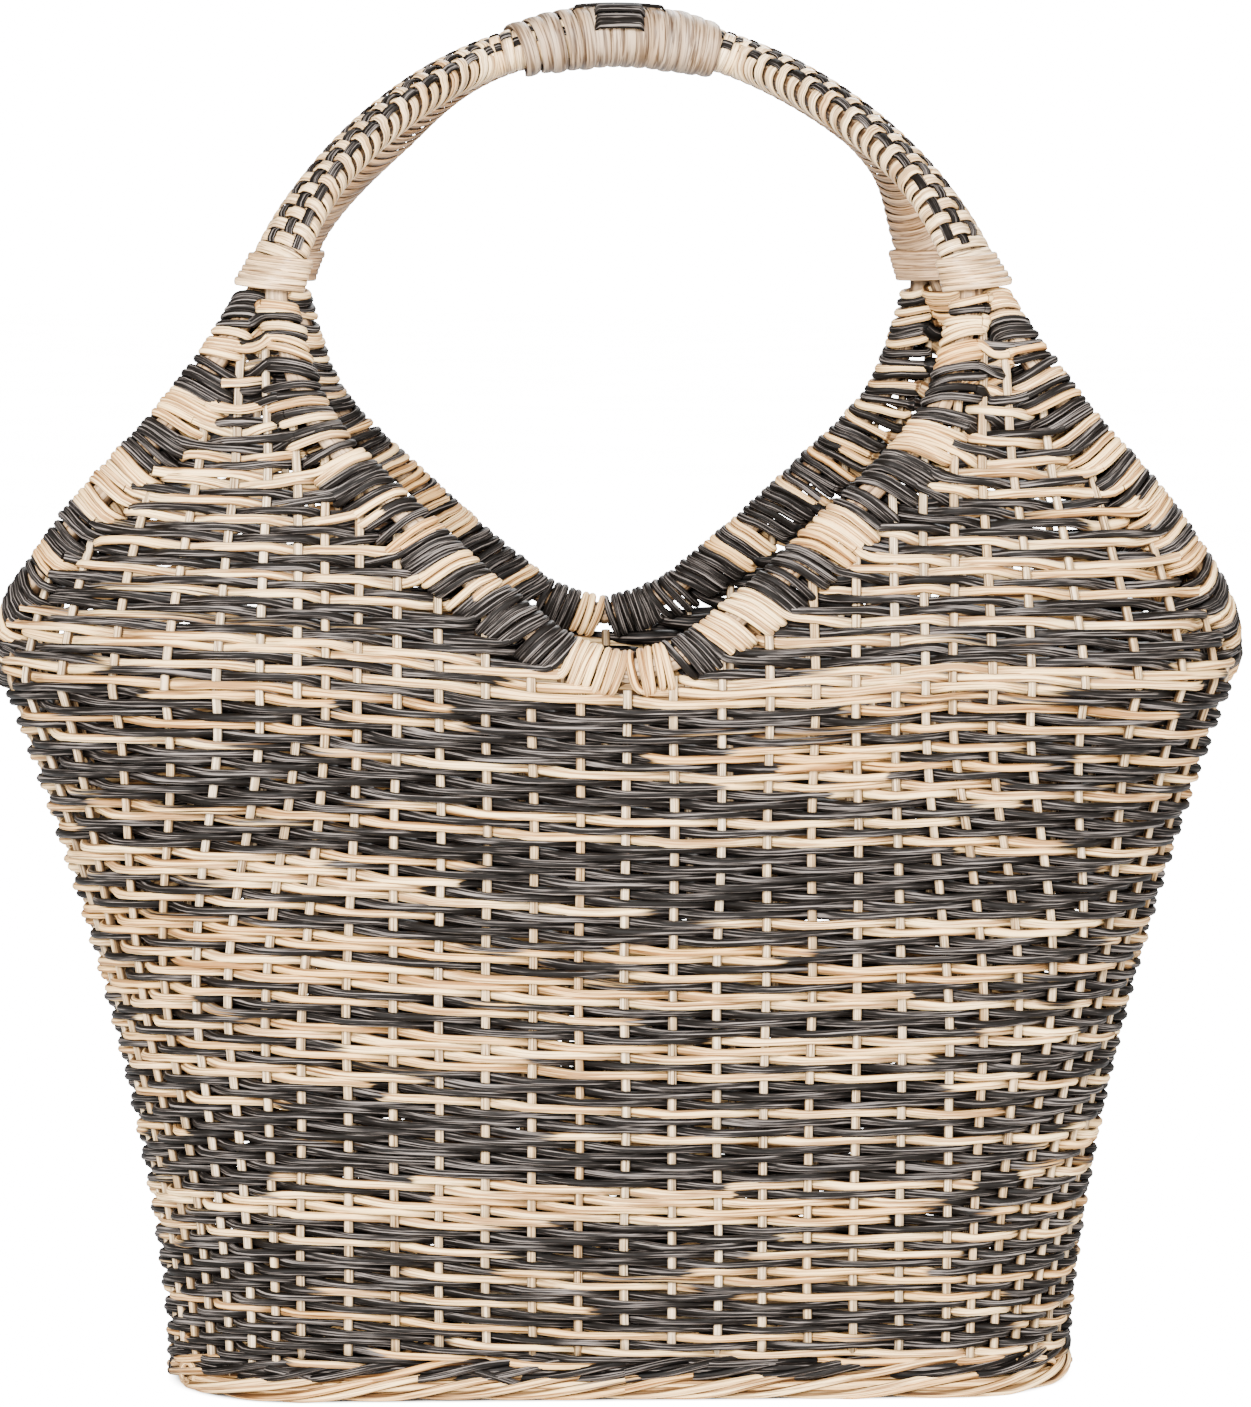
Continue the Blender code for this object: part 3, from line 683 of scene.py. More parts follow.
def rim_edge(front, clear, loop_share):
    """The rim's line moved down into the weave: u, z and the run along the rod."""
    share = np.linspace(0, 1, 400)
    share = 1 - (1 - share) ** 2 if front else share ** 1.5
    u, z = rim_probe(front, share)
    points = wall_point(u, z)
    stretch = np.linalg.norm(wall_point(u + 0.1, z) - wall_point(u - 0.1, z), axis=1) / 0.2
    du = np.gradient(u) * stretch
    dz = np.gradient(z)
    length = np.hypot(du, dz)
    sign = 1 if front else -1
    clear = clear + loop_share * loop_reach(z, z[0])
    u = u + sign * clear * dz / length / stretch
    z = z - sign * clear * du / length
    keep = np.concatenate([[True], np.diff(np.maximum.accumulate(z)) > 1e-7])
    return u[keep], z[keep], along_path(points)[keep]


weave_clear, weave_loop_share = 0.0046, 0.85
stake_clear = 0.0045
rims = {front: rim_rod_line(front) for front in (True, False)}
weave_edges = {front: rim_edge(front, weave_clear, weave_loop_share) for front in (True, False)}
stake_edges = {front: rim_edge(front, stake_clear, 0.0) for front in (True, False)}


def within_rims(u, z, edges):
    """Whether places on the wall lie below the rims."""
    q = fold(u)[0]
    front_u, front_z, _ = edges[True]
    side_u, side_z, _ = edges[False]
    return ((q > np.interp(z, front_z, front_u, left=-1.0))
            & (q < np.interp(z, side_z, side_u, left=stakes_round)))


# ---- the one long strand, cut into arcs where the rims and the foot stop it ----

# Broad darker and lighter parts of the front: middle in metres, half size, strength
front_zones = ((-0.110, 0.230, 0.110, 0.007, 0.6), (-0.060, 0.216, 0.130, 0.008, 0.6),
               (-0.090, 0.092, 0.110, 0.011, 0.6), (0.100, 0.104, 0.110, 0.012, 0.4),
               (0.060, 0.132, 0.120, 0.007, 0.4), (-0.030, 0.052, 0.130, 0.006, 0.5),
               (0.090, 0.190, 0.100, 0.007, 0.4), (-0.070, 0.150, 0.130, 0.008, -0.5),
               (-0.090, 0.190, 0.120, 0.007, -0.6), (-0.040, 0.120, 0.140, 0.006, -0.4),
               (0.130, 0.285, 0.090, 0.012, -0.5), (-0.120, 0.250, 0.090, 0.005, -0.6),
               (-0.060, 0.070, 0.100, 0.006, -0.5), (0.100, 0.170, 0.100, 0.006, -0.4),
               (0.080, 0.214, 0.100, 0.006, -0.3))
course_heights = (0.0890, 0.1657)
colour_run = 0.13
foot_zone = 0.1
foot_tuck_in, foot_tuck_down = 0.0045, 0.0070
front_rim_stakes = 8.2
turn_step = 20
turn_overrun = 50
turns_start_run = 0.0008
turns_end_short = 0.0065
rising_share = 0.6


def dye_at(n, u, z):
    """Dark or light along the strand: long runs, rows that alternate, and broad bands."""
    way = np.mod(u, stakes_round) / stakes_round
    broad = drift(way * 7, 21, z / 0.013 + 7, 7)
    own = drift(n / 12.0, 31)
    shift = drift(way * 7, 41, z / 0.035, 7) + 0.60 * drift(n / 21.0, 43)
    sides = np.tanh(1.8 * np.cos(math.pi * 5 * n / stakes_round + 4.0 * shift))
    _, left, behind = fold(u)
    row = np.floor(n / stakes_round + 0.25)
    turn_about = np.sign(np.sin(row * 2.45 + left * 1.3 + behind * 2.1))
    horn = smooth((z - 0.252) / 0.02)
    value = (1 - horn) * (0.12 * broad + 0.80 * own + 0.30 * drift(n / 30.0, 37)
                          + 0.42 * sides) + 0.19 + 0.10 * smooth((0.07 - z) / 0.03)
    value = value + horn * (0.10 * broad + 0.42 * own + 0.55 * turn_about + 0.13)
    place = wall_point(u, z)
    slip = 0.10 * drift(n / 11.0, 47)
    for x, middle, wide, tall, strength in front_zones:
        near = np.hypot((place[:, 0] + slip - x) / wide, (z - middle) / tall)
        value = value + strength * smooth(1.5 - near) * (place[:, 1] < 0)
    return np.clip(0.5 + 4.2 * value, -0.15, 1.15)


def strand_points(n, u, z, level):
    """Points, girth and outward directions of the strand, over two stakes and under one."""
    phase = np.mod(n - behind_phase, 3.0)
    pitch = np.interp(level, pitch_heights, row_pitches)
    near = np.minimum(phase, 3 - phase)
    slant = pitch * float_slant_share * np.sin(2 * math.pi * phase / 3)
    height = z - slant - behind_drop * (1 - smooth(near))
    out = wall_out(u, height)
    points = wall_point(u, height) + out * weave_swing(phase)[:, None]
    at_back = smooth(points[:, 1] / 0.06)
    full = np.clip(pitch / 0.0032, 0.9, 1.20) + 0.20 * at_back
    behind_stake = 0.36 + 0.22 * at_back
    swell = np.where(near < 1, behind_stake * (1 - near) + 0.16 * np.sin(math.pi * near),
                     0.06 * np.sin(math.pi * near) ** 2)
    return points, full * (0.94 + swell) * (1 + 0.075 * drift(n / 9.0, 55)), out


def quarter_name(left, behind):
    """The plain name of a quarter."""
    return ("back" if behind else "front") + ("_left" if left else "_right")


def cut_arcs():
    """Runs of the strand that nothing cuts, with where each end meets a rim."""
    n = np.arange(0, (len(levels) - 1) * stakes_round * points_per_stake) / points_per_stake
    level = np.interp(n / stakes_round, np.arange(len(levels)), levels)
    z = row_height(level, n)
    u = stake_place(n, z)
    kept = within_rims(u, z, weave_edges) & (z > weave_start)
    edges = np.flatnonzero(np.diff(np.concatenate([[0], kept.astype(int), [0]])))
    low, high = (np.interp(h, levels, np.arange(len(levels))) for h in course_heights)
    spiral = np.stack([n, u, z, level])
    arcs = []
    for first, stop in zip(edges[::2], edges[1::2]):
        if stop - first < 4:
            continue
        n, u, z, level = spiral[:, first:stop]
        points, girth, out = strand_points(n, u, z, level)
        q, left, behind = fold(u)
        row = n / stakes_round
        owner = np.where(row < low, "lower", np.where(row < high, "middle", "upper"))
        if np.all(left == left[0]) and np.all(behind == behind[0]) and level[0] > 0.2:
            owner = np.full(len(n), quarter_name(left[0], behind[0]))
        arcs.append({"points": points, "girth": girth, "facing": out, "dye": dye_at(n, u, z),
                     "tone": 0.5 + 0.5 * drift(n / 31.0, 61), "owner": owner.astype(object),
                     "ends": [(q[i], z[i], bool(left[i]), bool(behind[i])) for i in (0, -1)]})
    return arcs


def rim_ends(arcs):
    """The ends of arcs at each half rim, from the low point up."""
    found = {}
    for index, arc in enumerate(arcs):
        for side, (q, z, left, behind) in enumerate(arc["ends"]):
            if z < foot_zone:
                continue
            front = q < front_rim_stakes
            _, edge_z, edge_run = weave_edges[front]
            run = float(np.interp(z, edge_z, edge_run))
            found.setdefault((front, left, behind), []).append((run, index, side))
    return {key: sorted(ends) for key, ends in found.items()}


def rounded(c, s, square):
    """How far a ring's points are stretched to make it squarer."""
    return (np.abs(c) ** square + np.abs(s) ** square) ** (-1 / square)


def rim_turns(front, left, behind, first_run, last_run, passes, rising):
    """Turns of a strand round a rim rod, from the outer side in."""
    rim = rims[front]
    pitch = (last_run - first_run) / passes
    turn = np.radians(np.arange(-turn_overrun, 360 * (passes - 1) + 181 + turn_overrun,
                                turn_step))
    step = (turn - math.pi / 2) / (2 * math.pi)
    run = first_run + (0.5 + step) * pitch if rising else last_run - (0.5 + step) * pitch
    c, s = np.cos(turn), np.sin(turn)
    run = run + 0.0008 * drift(turn / 3.7, int(last_run * 7000) % 89)
    gather = loop_gather_share * np.clip(-s, 0, 1)
    run = run + ((first_run + last_run) / 2 - run) * gather
    run = np.clip(run - turn_skew * s * smooth(first_run / 0.03), 0, rim["run"][-1])
    line, out, away = (resample(rim["run"], rim[part], run) for part in ("line", "out", "away"))
    far = turn_radius + np.where(s < 0, loop_reach(line[:, 2], rim["line"][0, 2]), 0)
    stretch = rounded(c, s, np.where(s < 0, 3.4, 2.0))
    stretch = stretch * (1.03 + 0.07 * drift(turn / 2.6, int(first_run * 9000) % 97))
    sideways = far * s * stretch
    outward = turn_radius * c * stretch - np.minimum(sideways, 0) ** 2 / 0.15
    points = line + out * outward[:, None] + away * sideways[:, None]
    facing = unit(out * (c / turn_radius)[:, None] + away * (s / far)[:, None])
    return mirrored(points, left, behind), mirrored(facing, left, behind)


def pull_end(arc, side, target):
    """Bend the last stretch of an arc so that it ends at a place."""
    order = arc["points"] if side == 1 else arc["points"][::-1]
    out = arc["facing"][-side]
    shift = target - order[-1]
    lift = np.dot(shift, out) * out
    flat = shift - lift
    back = along_path(order[::-1])[::-1]
    reach = min(0.018 + 2.2 * np.linalg.norm(flat), 0.9 * back[0] + 1e-4)
    soft = np.clip(1 - back / reach, 0, 1)[:, None] ** 2
    quick = np.clip(1 - back / min(0.007, reach), 0, 1)[:, None] ** 1.5
    order += flat * soft + lift * quick


def tie_rims(arcs):
    """Give every arc's end its turns round a rim rod, in pairs that join two rows."""
    groups = []
    for (front, left, behind), ends in rim_ends(arcs).items():
        first = 0 if front else 1
        sets = [ends[:first]] + [ends[i:i + 2] for i in range(first, len(ends), 2)]
        sets = [s for s in sets if s]
        cuts = [(low[-1][0] + high[0][0]) / 2 for low, high in zip(sets, sets[1:])]
        cuts = [turns_start_run] + cuts + [rims[front]["run"][-1] - turns_end_short]
        for low, high, members in zip(cuts, cuts[1:], sets):
            passes = max(1, int(round((high - low) / turn_pitch)))
            rising = bool(rng.random() < rising_share) or len(members) == 1
            points, facing = rim_turns(front, left, behind, low, high, passes, rising)
            order = [member[1:] for member in (members if rising else members[::-1])]
            for (index, side), target in zip(order, (points[0], points[-1])):
                pull_end(arcs[index], side, target)
            name = ("front" if not behind else "back") if front else ("left" if left else "right")
            groups.append({"rim": name + "_rim", "points": points, "facing": facing,
                           "members": order})
    return groups


def link_chains(arcs, groups):
    """Follow the strand from arc to rim to arc, as long chains."""
    at_end = {member: index for index, group in enumerate(groups)
              for member in group["members"]}
    used = set()

    def follow(index, side):
        chain = []
        while index not in used:
            used.add(index)
            chain.append(("arc", index, side))
            leave = (index, 1 - side)
            if leave not in at_end:
                break
            members = groups[at_end[leave]]["members"]
            chain.append(("turns", at_end[leave], members[0] == leave))
            other = [m for m in members if m != leave]
            if not other:
                break
            index, side = other[0]
        return chain

    chains = []
    for index in range(len(arcs)):
        for side in (0, 1):
            group = at_end.get((index, side))
            if index not in used and (group is None or len(groups[group]["members"]) == 1):
                start = [] if group is None else [("turns", group, False)]
                chains.append(start + follow(index, side))
    return chains + [follow(index, 0) for index in range(len(arcs)) if index not in used]


def turn_colours(points, index, first, last):
    """The dye of a group of turns: a few passes of each row that ends there."""
    run = along_path(points)
    blocks = max(2, round(run[-1] / colour_run))
    place = run / run[-1] * blocks + (lattice[(index * 37) % 8192] - 0.5) * 0.5
    block = np.clip(np.floor(place), 0, blocks - 1).astype(int)
    dark = lattice[(index * 53 + np.arange(blocks) * 11) % 8192] < 0.5
    dark[0], dark[-1] = first, last
    return dark[block] * 1.2 - 0.1


def chain_parts(chain, arcs, groups):
    """The arcs and the turns of a chain, each with its points, looks and owner."""
    held = None
    for place, (kind, index, way) in enumerate(chain):
        forward = (kind == "turns") == bool(way)
        part = (arcs if kind == "arc" else groups)[index]
        part = {key: part[key][::1 if forward else -1]
                for key in ("points", "facing", "girth", "tone", "dye", "owner") if key in part}
        if kind == "arc":
            if held is not None:
                ease = smooth(np.arange(len(part["dye"])) / 9.0)
                part["dye"] = held * (1 - ease) + part["dye"] * ease
        else:
            count = len(part["points"])
            ahead = held
            if place + 1 < len(chain):
                after, enter = chain[place + 1][1:]
                ahead = arcs[after]["dye"][-enter]
            held = ahead if held is None else held
            part["girth"] = 1.0 + 0.10 * drift(np.arange(count) / 11.0 + index * 3.3, 73)
            part["tone"] = np.full(count, 0.5 + 0.5 * drift(index * 1.7, 71))
            part["dye"] = turn_colours(part["points"], index, held > 0.5, ahead > 0.5)
            part["owner"] = np.full(count, groups[index]["rim"], dtype=object)
        held = part["dye"][-1]
        yield part


def soften(points, joins):
    """Round the path off where a row goes over to its turns."""
    weight = np.zeros(len(points))
    for join in joins:
        weight[max(join - 4, 1):min(join + 4, len(points) - 1)] = 1.0
    for _ in range(3):
        middle = (points[:-2] + points[2:]) / 2
        points[1:-1] += (middle - points[1:-1]) * 0.5 * weight[1:-1, None]


def lay_strands():
    """Every length of the woven strand, sorted by the piece it belongs to."""
    arcs = cut_arcs()
    groups = tie_rims(arcs)
    for arc in arcs:
        for side, (_, z, _, _) in enumerate(arc["ends"]):
            if z < foot_zone:
                tuck = arc["facing"][-side] * foot_tuck_in + upward * foot_tuck_down
                pull_end(arc, side, arc["points"][-side] - tuck)
    pieces = {}
    for chain in link_chains(arcs, groups):
        parts = list(chain_parts(chain, arcs, groups))
        whole = {key: np.concatenate([part[key] for part in parts]) for key in parts[0]}
        soften(whole["points"], np.cumsum([len(part["points"]) for part in parts])[:-1])
        whole["run"] = along_path(whole["points"]) + rng.random() * 5
        owner = whole.pop("owner")
        starts = np.flatnonzero(owner[1:] != owner[:-1]) + 1
        bounds = np.concatenate([[0], starts, [len(owner)]])
        for first, stop in zip(bounds, bounds[1:]):
            pieces.setdefault(owner[first], []).append(
                cane(**{key: value[first:stop + 1] for key, value in whole.items()}))
    return pieces


# ---- stakes ----

def stake_line(s, low):
    """A stake up the wall to the rim, and its outward directions."""
    z = np.arange(low, stake_top, 0.0024)
    u = stake_place(float(s), z)
    good = within_rims(u, z, stake_edges)
    stop = len(z) if np.all(good) else int(np.argmin(good))
    u, z = u[:stop], z[:stop]
    out = wall_out(u, z)
    return wall_point(u, z) + out * (stake_push * smooth((z - low) / 0.004))[:, None], out


def cross_stake(first, second, out, layer, steps):
    """A stake up one wall, under the base and up the opposite wall."""
    bend = 0.008
    turn = np.linspace(0, math.pi / 2, 7)[1:, None]
    legs = []
    for s, way in ((first, out), (second, -out)):
        leg, facing = stake_line(s % stakes_round, layer + bend)
        under = (leg[0] - way * bend * (1 - np.cos(turn))
                 - upward * (leg[0, 2] - layer) * np.sin(turn))
        legs.append((np.concatenate([leg[::-1], under]), np.concatenate(
            [facing[::-1], way * np.cos(turn) - upward * np.sin(turn)])))
    (near, near_facing), (far, far_facing) = legs
    across = near[-1] + (far[-1] - near[-1]) * np.linspace(0, 1, steps)[1:-1, None]
    return (np.concatenate([near, across, far[::-1]]),
            np.concatenate([near_facing, np.zeros((steps - 2, 3)) - upward, far_facing[::-1]]))


def lay_stakes():
    """All the stakes, by group."""
    side_first = face_stakes + corner_stakes
    groups = {
        "face": [cross_stake(k, stakes_round / 2 - k, np.array([0.0, -1.0, 0.0]),
                             lower_layer, 22) for k in range(-face_stakes, face_stakes + 1)],
        "side": [cross_stake(s, stakes_round - s, np.array([1.0, 0.0, 0.0]), upper_layer, 30)
                 for s in range(side_first, side_first + 8)],
        "corner": [stake_line(float(unfold(float(k), left, behind)), 0.0085)
                   for left, behind in quarters for k in range(face_stakes + 1, side_first)]}
    return {name: [cane(line, girth=1 + 0.04 * drift(np.arange(len(line)) / 20.0, i + 3),
                        tone=0.5 + 0.5 * drift(i * 1.3, 91), facing=facing)
                   for i, (line, facing) in enumerate(lines)] for name, lines in groups.items()}


# ---- foot border and base ----

# The two ropes: strands, which dye, height of the middle, half height, half width, lay
foot_ropes = ((4, 0.9, 0.0112, 0.0028, 0.0032, 0.080), (5, -0.9, 0.0050, 0.0034, 0.0034, 0.110))
# The loose curls of cane: place, radius, dye
foot_curls = ((61.7, 0.0033, 0.0), (60.2, 0.0026, 1.0), (14.6, 0.0028, 0.0))
base_pitch = 0.0030
base_rows = int(0.178 / base_pitch)
base_swing = 0.0022


def lay_foot():
    """The foot border: dark strands plaited over pale ones, round the base."""
    u = np.linspace(0, stakes_round, 701)
    out = unit(wall_out(u, 0.004) * (1.0, 1.0, 0.0))
    middle = wall_point(u, 0.0, 0.0006)
    run = along_path(middle)
    rope = []
    for count, dark, high, tall, wide, lay in foot_ropes:
        lays = round(run[-1] / lay)
        rise = high + 0.0007 * drift(u / 3.7, 117, around=20) * (dark < 0)
        heart = middle.copy()
        heart[:, 2] = rise
        heart[-1] = heart[0]
        rope.append(cane(heart, 1.35, 0.5 + 0.5 * dark, 0.3, out))
        for i in range(count):
            turn = 2 * math.pi * (i / count + lays * run / run[-1])
            turn = turn + 0.5 * drift(u / 5.2857142857, 100 + i, around=14)
            swell = 1 + 0.10 * drift(u / 2.3125, 105 + i, around=32)
            points = middle + out * (wide * np.cos(turn) * swell)[:, None]
            points[:, 2] = np.maximum(rise + tall * np.sin(turn) * swell,
                                      strand_radius + 0.0001)
            points[-1] = points[0]
            facing = unit(out * np.cos(turn)[:, None] + upward * np.sin(turn)[:, None])
            dye = dark * (0.80 if dark > 0 else 0.62) + drift(u / 6.1666667, 111 + i, around=12)
            rope.append(cane(points, 0.98, np.clip(0.5 + 2.4 * dye, -0.1, 1.1),
                             0.5 + 0.5 * drift(i * 2.1, 113), facing))
    turn = np.linspace(-0.8, 1.6 * math.pi, 22)
    for corner, radius, dye in foot_curls:
        side = unit(wall_point(corner + 0.2, 0.006) - wall_point(corner - 0.2, 0.006))
        away = wall_out(corner, 0.006)
        points = (wall_point(corner, 0.0068, 0.0042) + side * (radius * np.cos(turn))[:, None]
                  + upward * (radius * np.sin(turn))[:, None]
                  - away * np.linspace(0.003, 0.0, len(turn))[:, None])
        rope.append(cane(points, 0.95, dye, 0.4, away))
    return rope


def lay_base():
    """The base: strands from side to side over and under the stakes that cross below."""
    strands = []
    edge = wall_point(np.linspace(face_stakes, stakes_to_side, 60), 0.012, -0.004)
    for j in range(base_rows):
        y = (j - (base_rows - 1) / 2) * base_pitch
        reach = float(np.interp(-abs(y), edge[:, 1], edge[:, 0]))
        x = np.linspace(-reach, reach, int(reach * 2 / base_pitch))
        swing = np.cos(math.pi * (x / stake_space + j)) * np.clip((0.12 - np.abs(x)) / 0.01, 0, 1)
        points = np.stack([x, np.full(len(x), y), lower_layer + 0.0008 + base_swing * swing],
                          axis=1)
        dye = np.clip(0.5 + 4 * drift(x / 0.11 + j * 7.7, 121), -0.1, 1.1)
        strands.append(cane(points, 1.28, dye, 0.5 + 0.5 * drift(j * 1.9, 123)))
    return strands


# ---- handle ----
core_inset = 0.0040
wrap_width, wrap_thickness = 0.0043, 0.0010
wrap_inset = 0.0007
wrap_turns = 74
strip_width, strip_thickness = 0.0038, 0.0010
strip_places = (96.0, 128.0, 158.0)
strip_reach = 15.0
strip_start = 0.03
hoop_square = 2.15
crown_cane_width, crown_cane_thickness = 0.0056, 0.0020
crown_lift = 0.0050
crown_turns, crown_length, crown_square = 14, 0.0700, 2.8
crown_half_width, crown_half_thickness = 0.0222, 0.0100
collar_cane_width, collar_cane_thickness = 0.0029, 0.0012
collar_turns, collar_height, collar_square = 5, 0.0112, 2.7
collar_clear = 0.0009


def winding(turns, per_turn):
    """The turn and the share of the way at each point of a winding."""
    turn = np.arange(turns * per_turn + 1) * 2 * math.pi / per_turn
    return turn, turn / turn[-1]


def ring_place(turn, half_wide, half_thick, square):
    """Across and out shares round a flat rounded ring."""
    c = np.cos(turn)
    s = np.sin(turn)
    stretch = rounded(c, s, square)
    return half_wide * c * stretch, half_thick * s * stretch


def ring_facing(across, out, wide, thick, half):
    """The way that points on a hoop's ring face."""
    return unit(across * (wide / half ** 2)[:, None]
                + out * (thick / hoop_half_thickness ** 2)[:, None])


def on_hoop(t, turn):
    """Points and facing of cane at an angle round a hoop, before it is lifted."""
    point, _, across, out, half = hoop_frame(t)
    wide, thick = ring_place(turn, half - wrap_inset, hoop_half_thickness - wrap_inset,
                             hoop_square)
    return (point + across * wide[:, None] + out * thick[:, None],
            ring_facing(across, out, wide, thick, half))


def lay_hoop_wrap(behind):
    """Flat cane wound round a hoop, over and under the strips on its outer face."""
    turn, t = winding(wrap_turns, 36)
    points, facing = on_hoop(t, turn)
    count = np.floor(turn / (2 * math.pi)).astype(int)
    angle = np.degrees(turn) % 360
    strips = smooth((t - strip_start) / 0.01) * smooth((1 - strip_start - t) / 0.01)
    lift = np.zeros(len(t))
    for n, place in enumerate(strip_places):
        near = smooth(1.5 - np.abs(angle - place) / strip_reach)
        over = np.where((count + n) % 2 == 0, 1.0, -0.25)
        lift += near * over * strip_thickness * strips
    return cane(points + facing * lift[:, None], 1.0, 0.0, 0.5 + 0.5 * drift(turn / 5.5, 131),
                facing, quarter=(False, behind))


def lay_hoop_strips(behind):
    """Three dyed strips along a hoop, laced through the wound cane and over the crown."""
    strips = []
    t = np.linspace(strip_start, 1 - strip_start, int(wrap_turns * 0.94 * 8))
    bridges = (0.0 if behind else 0.058, 0.034, 0.034)
    for n, (place, bridge_half, wider) in enumerate(zip(strip_places, bridges, (0.3, 0.8, 0.8))):
        points, facing = on_hoop(t, np.radians(np.full(len(t), place)))
        wave = np.cos(math.pi * (t * wrap_turns - place / 360.0 + n))
        bridge = smooth((bridge_half - np.abs(t - 0.497)) / 0.012)
        lift = (0.0003 - 0.0007 * np.clip(wave * 1.7, -1, 1) * (1 - bridge)
                + (crown_lift - 0.0005 * (n == 0)) * bridge)
        strips.append(cane(points + facing * lift[:, None], 1 + wider * bridge, 1.0, 0.5,
                           facing, quarter=(False, behind)))
    return strips


def lay_hoop_core(behind):
    """The hoop's core as one wide cane."""
    point, _, _, out, half = hoop_frame(np.linspace(0, 1, 60))
    return cane(point, half / hoop_end_half, 0.0, 0.4, out, quarter=(False, behind))


def lay_crown():
    """Flat-oval cane wound round both hoops at the crown."""
    turn, share = winding(crown_turns, 26)
    spread = crown_length / hoop_radius
    slant = 0.0022 * np.cos(turn) + 0.0009 * drift(turn / 5.3, 147)
    angle = math.pi / 2 + spread * (0.5 - share) + slant / hoop_radius
    out = np.stack([np.cos(angle), np.zeros(len(angle)), np.sin(angle)], axis=1)
    side = np.zeros((len(angle), 3)) + (0.0, 1.0, 0.0)
    wide, thick = ring_place(turn, crown_half_width, crown_half_thickness, crown_square)
    thick = thick * (1 - 0.12 * smooth((np.abs(2 * share - 1) - 0.6) / 0.4))
    uneven = 1 + 0.04 * drift(turn / 4.1, 141) + 0.02 * drift(turn / 1.3, 142)
    middle = upward * hoop_middle
    points = (middle + out * (hoop_radius + thick * uneven)[:, None]
              + side * (wide * uneven)[:, None])
    facing = unit(np.cross(np.cross(side, out), unit(np.gradient(points, axis=0))))
    inward = np.sum(facing * (points - (middle + out * hoop_radius)), axis=1) < 0
    facing[inward] *= -1
    return cane(points, 1.0 + 0.05 * drift(turn / 7.0, 143), 0.0,
                0.6 + 0.4 * drift(turn / 6.0, 145), facing)


def lay_collar(left, behind):
    """The cane collar where a hoop leaves its horn: it widens down over both rim rods."""
    turn, share = winding(collar_turns, 28)
    point, along, across, out, half = hoop_frame(0.0)
    grow = smooth(share)
    lean = unit(along * 0.2 + upward * 0.8)
    side = square_to(across, lean)
    face = np.cross(lean, side)
    face = face * np.sign(np.dot(face, out))
    wide, thick = ring_place(turn, half + collar_clear, hoop_half_thickness + collar_clear,
                             collar_square)
    centre = (point - along * (collar_height * (share - 0.55))[:, None]
              - out * (0.0006 * (1 - grow))[:, None])
    points = (centre + side * (wide * (1 - 0.12 * grow))[:, None]
              + face * (thick * (0.97 + 0.36 * grow))[:, None])
    return cane(points, 1.0, 0.0, 0.7 + 0.3 * drift(turn / 4, 151),
                ring_facing(side, face, wide, thick, half), quarter=(left, behind))


# ---- build ----
quarters = [(left, behind) for behind in (False, True) for left in (False, True)]
strands = lay_strands()
for owner in sorted(strands):
    made, node = "_horn_strands", "_horn_weave"
    if owner in ("lower", "middle", "upper"):
        made, node = "_weave_strands", "_weave"
    elif owner.endswith("_rim"):
        made, node = "_turns", "_wrap"
    sweep_canes(owner + made, strands[owner], woven_cane,
                [owner + node], follow=False)

stake_nodes = {"face": [f"face_stake_{n:02d}" for n in range(1, 16)],
               "side": [f"side_stake_{n}" for n in range(1, 9)],
               "corner": [quarter_name(*q) + "_corner_stakes" for q in quarters]}
for group, canes in lay_stakes().items():
    sweep_canes(group + "_stakes", canes, stake_finish, stake_nodes[group],
                2 * stake_radius)

for name, front, flips in (("front", True, ((False, False), (True, False))),
                           ("back", True, ((False, True), (True, True))),
                           ("right", False, ((False, False), (False, True))),
                           ("left", False, ((True, False), (True, True)))):
    whole, facing = (np.concatenate([mirrored(rims[front][part], *flips[0])[::-1],
                                     mirrored(rims[front][part], *flips[1])[1:]])
                     for part in ("line", "out"))
    sweep_canes(name + "_rod", [cane(whole, facing=facing)], rod_finish,
                [name + "_rim_rod"], 2 * rod_radius, sides=12)

sweep_canes("foot_rope", lay_foot(), woven_cane, ["foot_border"], follow=False)
sweep_canes("base_strands", lay_base(), woven_cane, ["base_mat"], sides=6)

for name, behind in (("front", False), ("back", True)):
    sweep_canes(name + "_hoop_core", [lay_hoop_core(behind)], rod_finish,
                [name + "_handle_core"], 2 * hoop_end_half - core_inset,
                2 * hoop_half_thickness - core_inset, 14)
    # The back hoop's cane is darker than the front's, partly with painted shade.
    sweep_canes(name + "_hoop_cane", [lay_hoop_wrap(behind)],
                back_dark_and_shaded_finish if behind else handle_finish,
                [name + "_handle_wrap"], wrap_width, wrap_thickness)
    sweep_canes(name + "_hoop_strips", lay_hoop_strips(behind), strip_finish,
                [f"{name}_handle_strip_{n}" for n in (1, 2, 3)], strip_width, strip_thickness, 6)
# The crown's cane carries painted shade in its darker colour.
sweep_canes("crown_cane", [lay_crown()], crown_brown_and_shaded_finish, ["crown_binding"],
            crown_cane_width, crown_cane_thickness, 10)
for left, behind in quarters:
    name = quarter_name(left, behind) + "_collar"
    # The back collars take the back hoop's darker cane, partly painted shade.
    sweep_canes(name + "_cane", [lay_collar(left, behind)],
                back_dark_and_shaded_finish if behind else collar_finish,
                [name], collar_cane_width, collar_cane_thickness)


# ---- floor, light and camera ----
floor_glow = 18.0
floor_half = 14.0
shade_ends, glow_starts = 0.044, 0.050


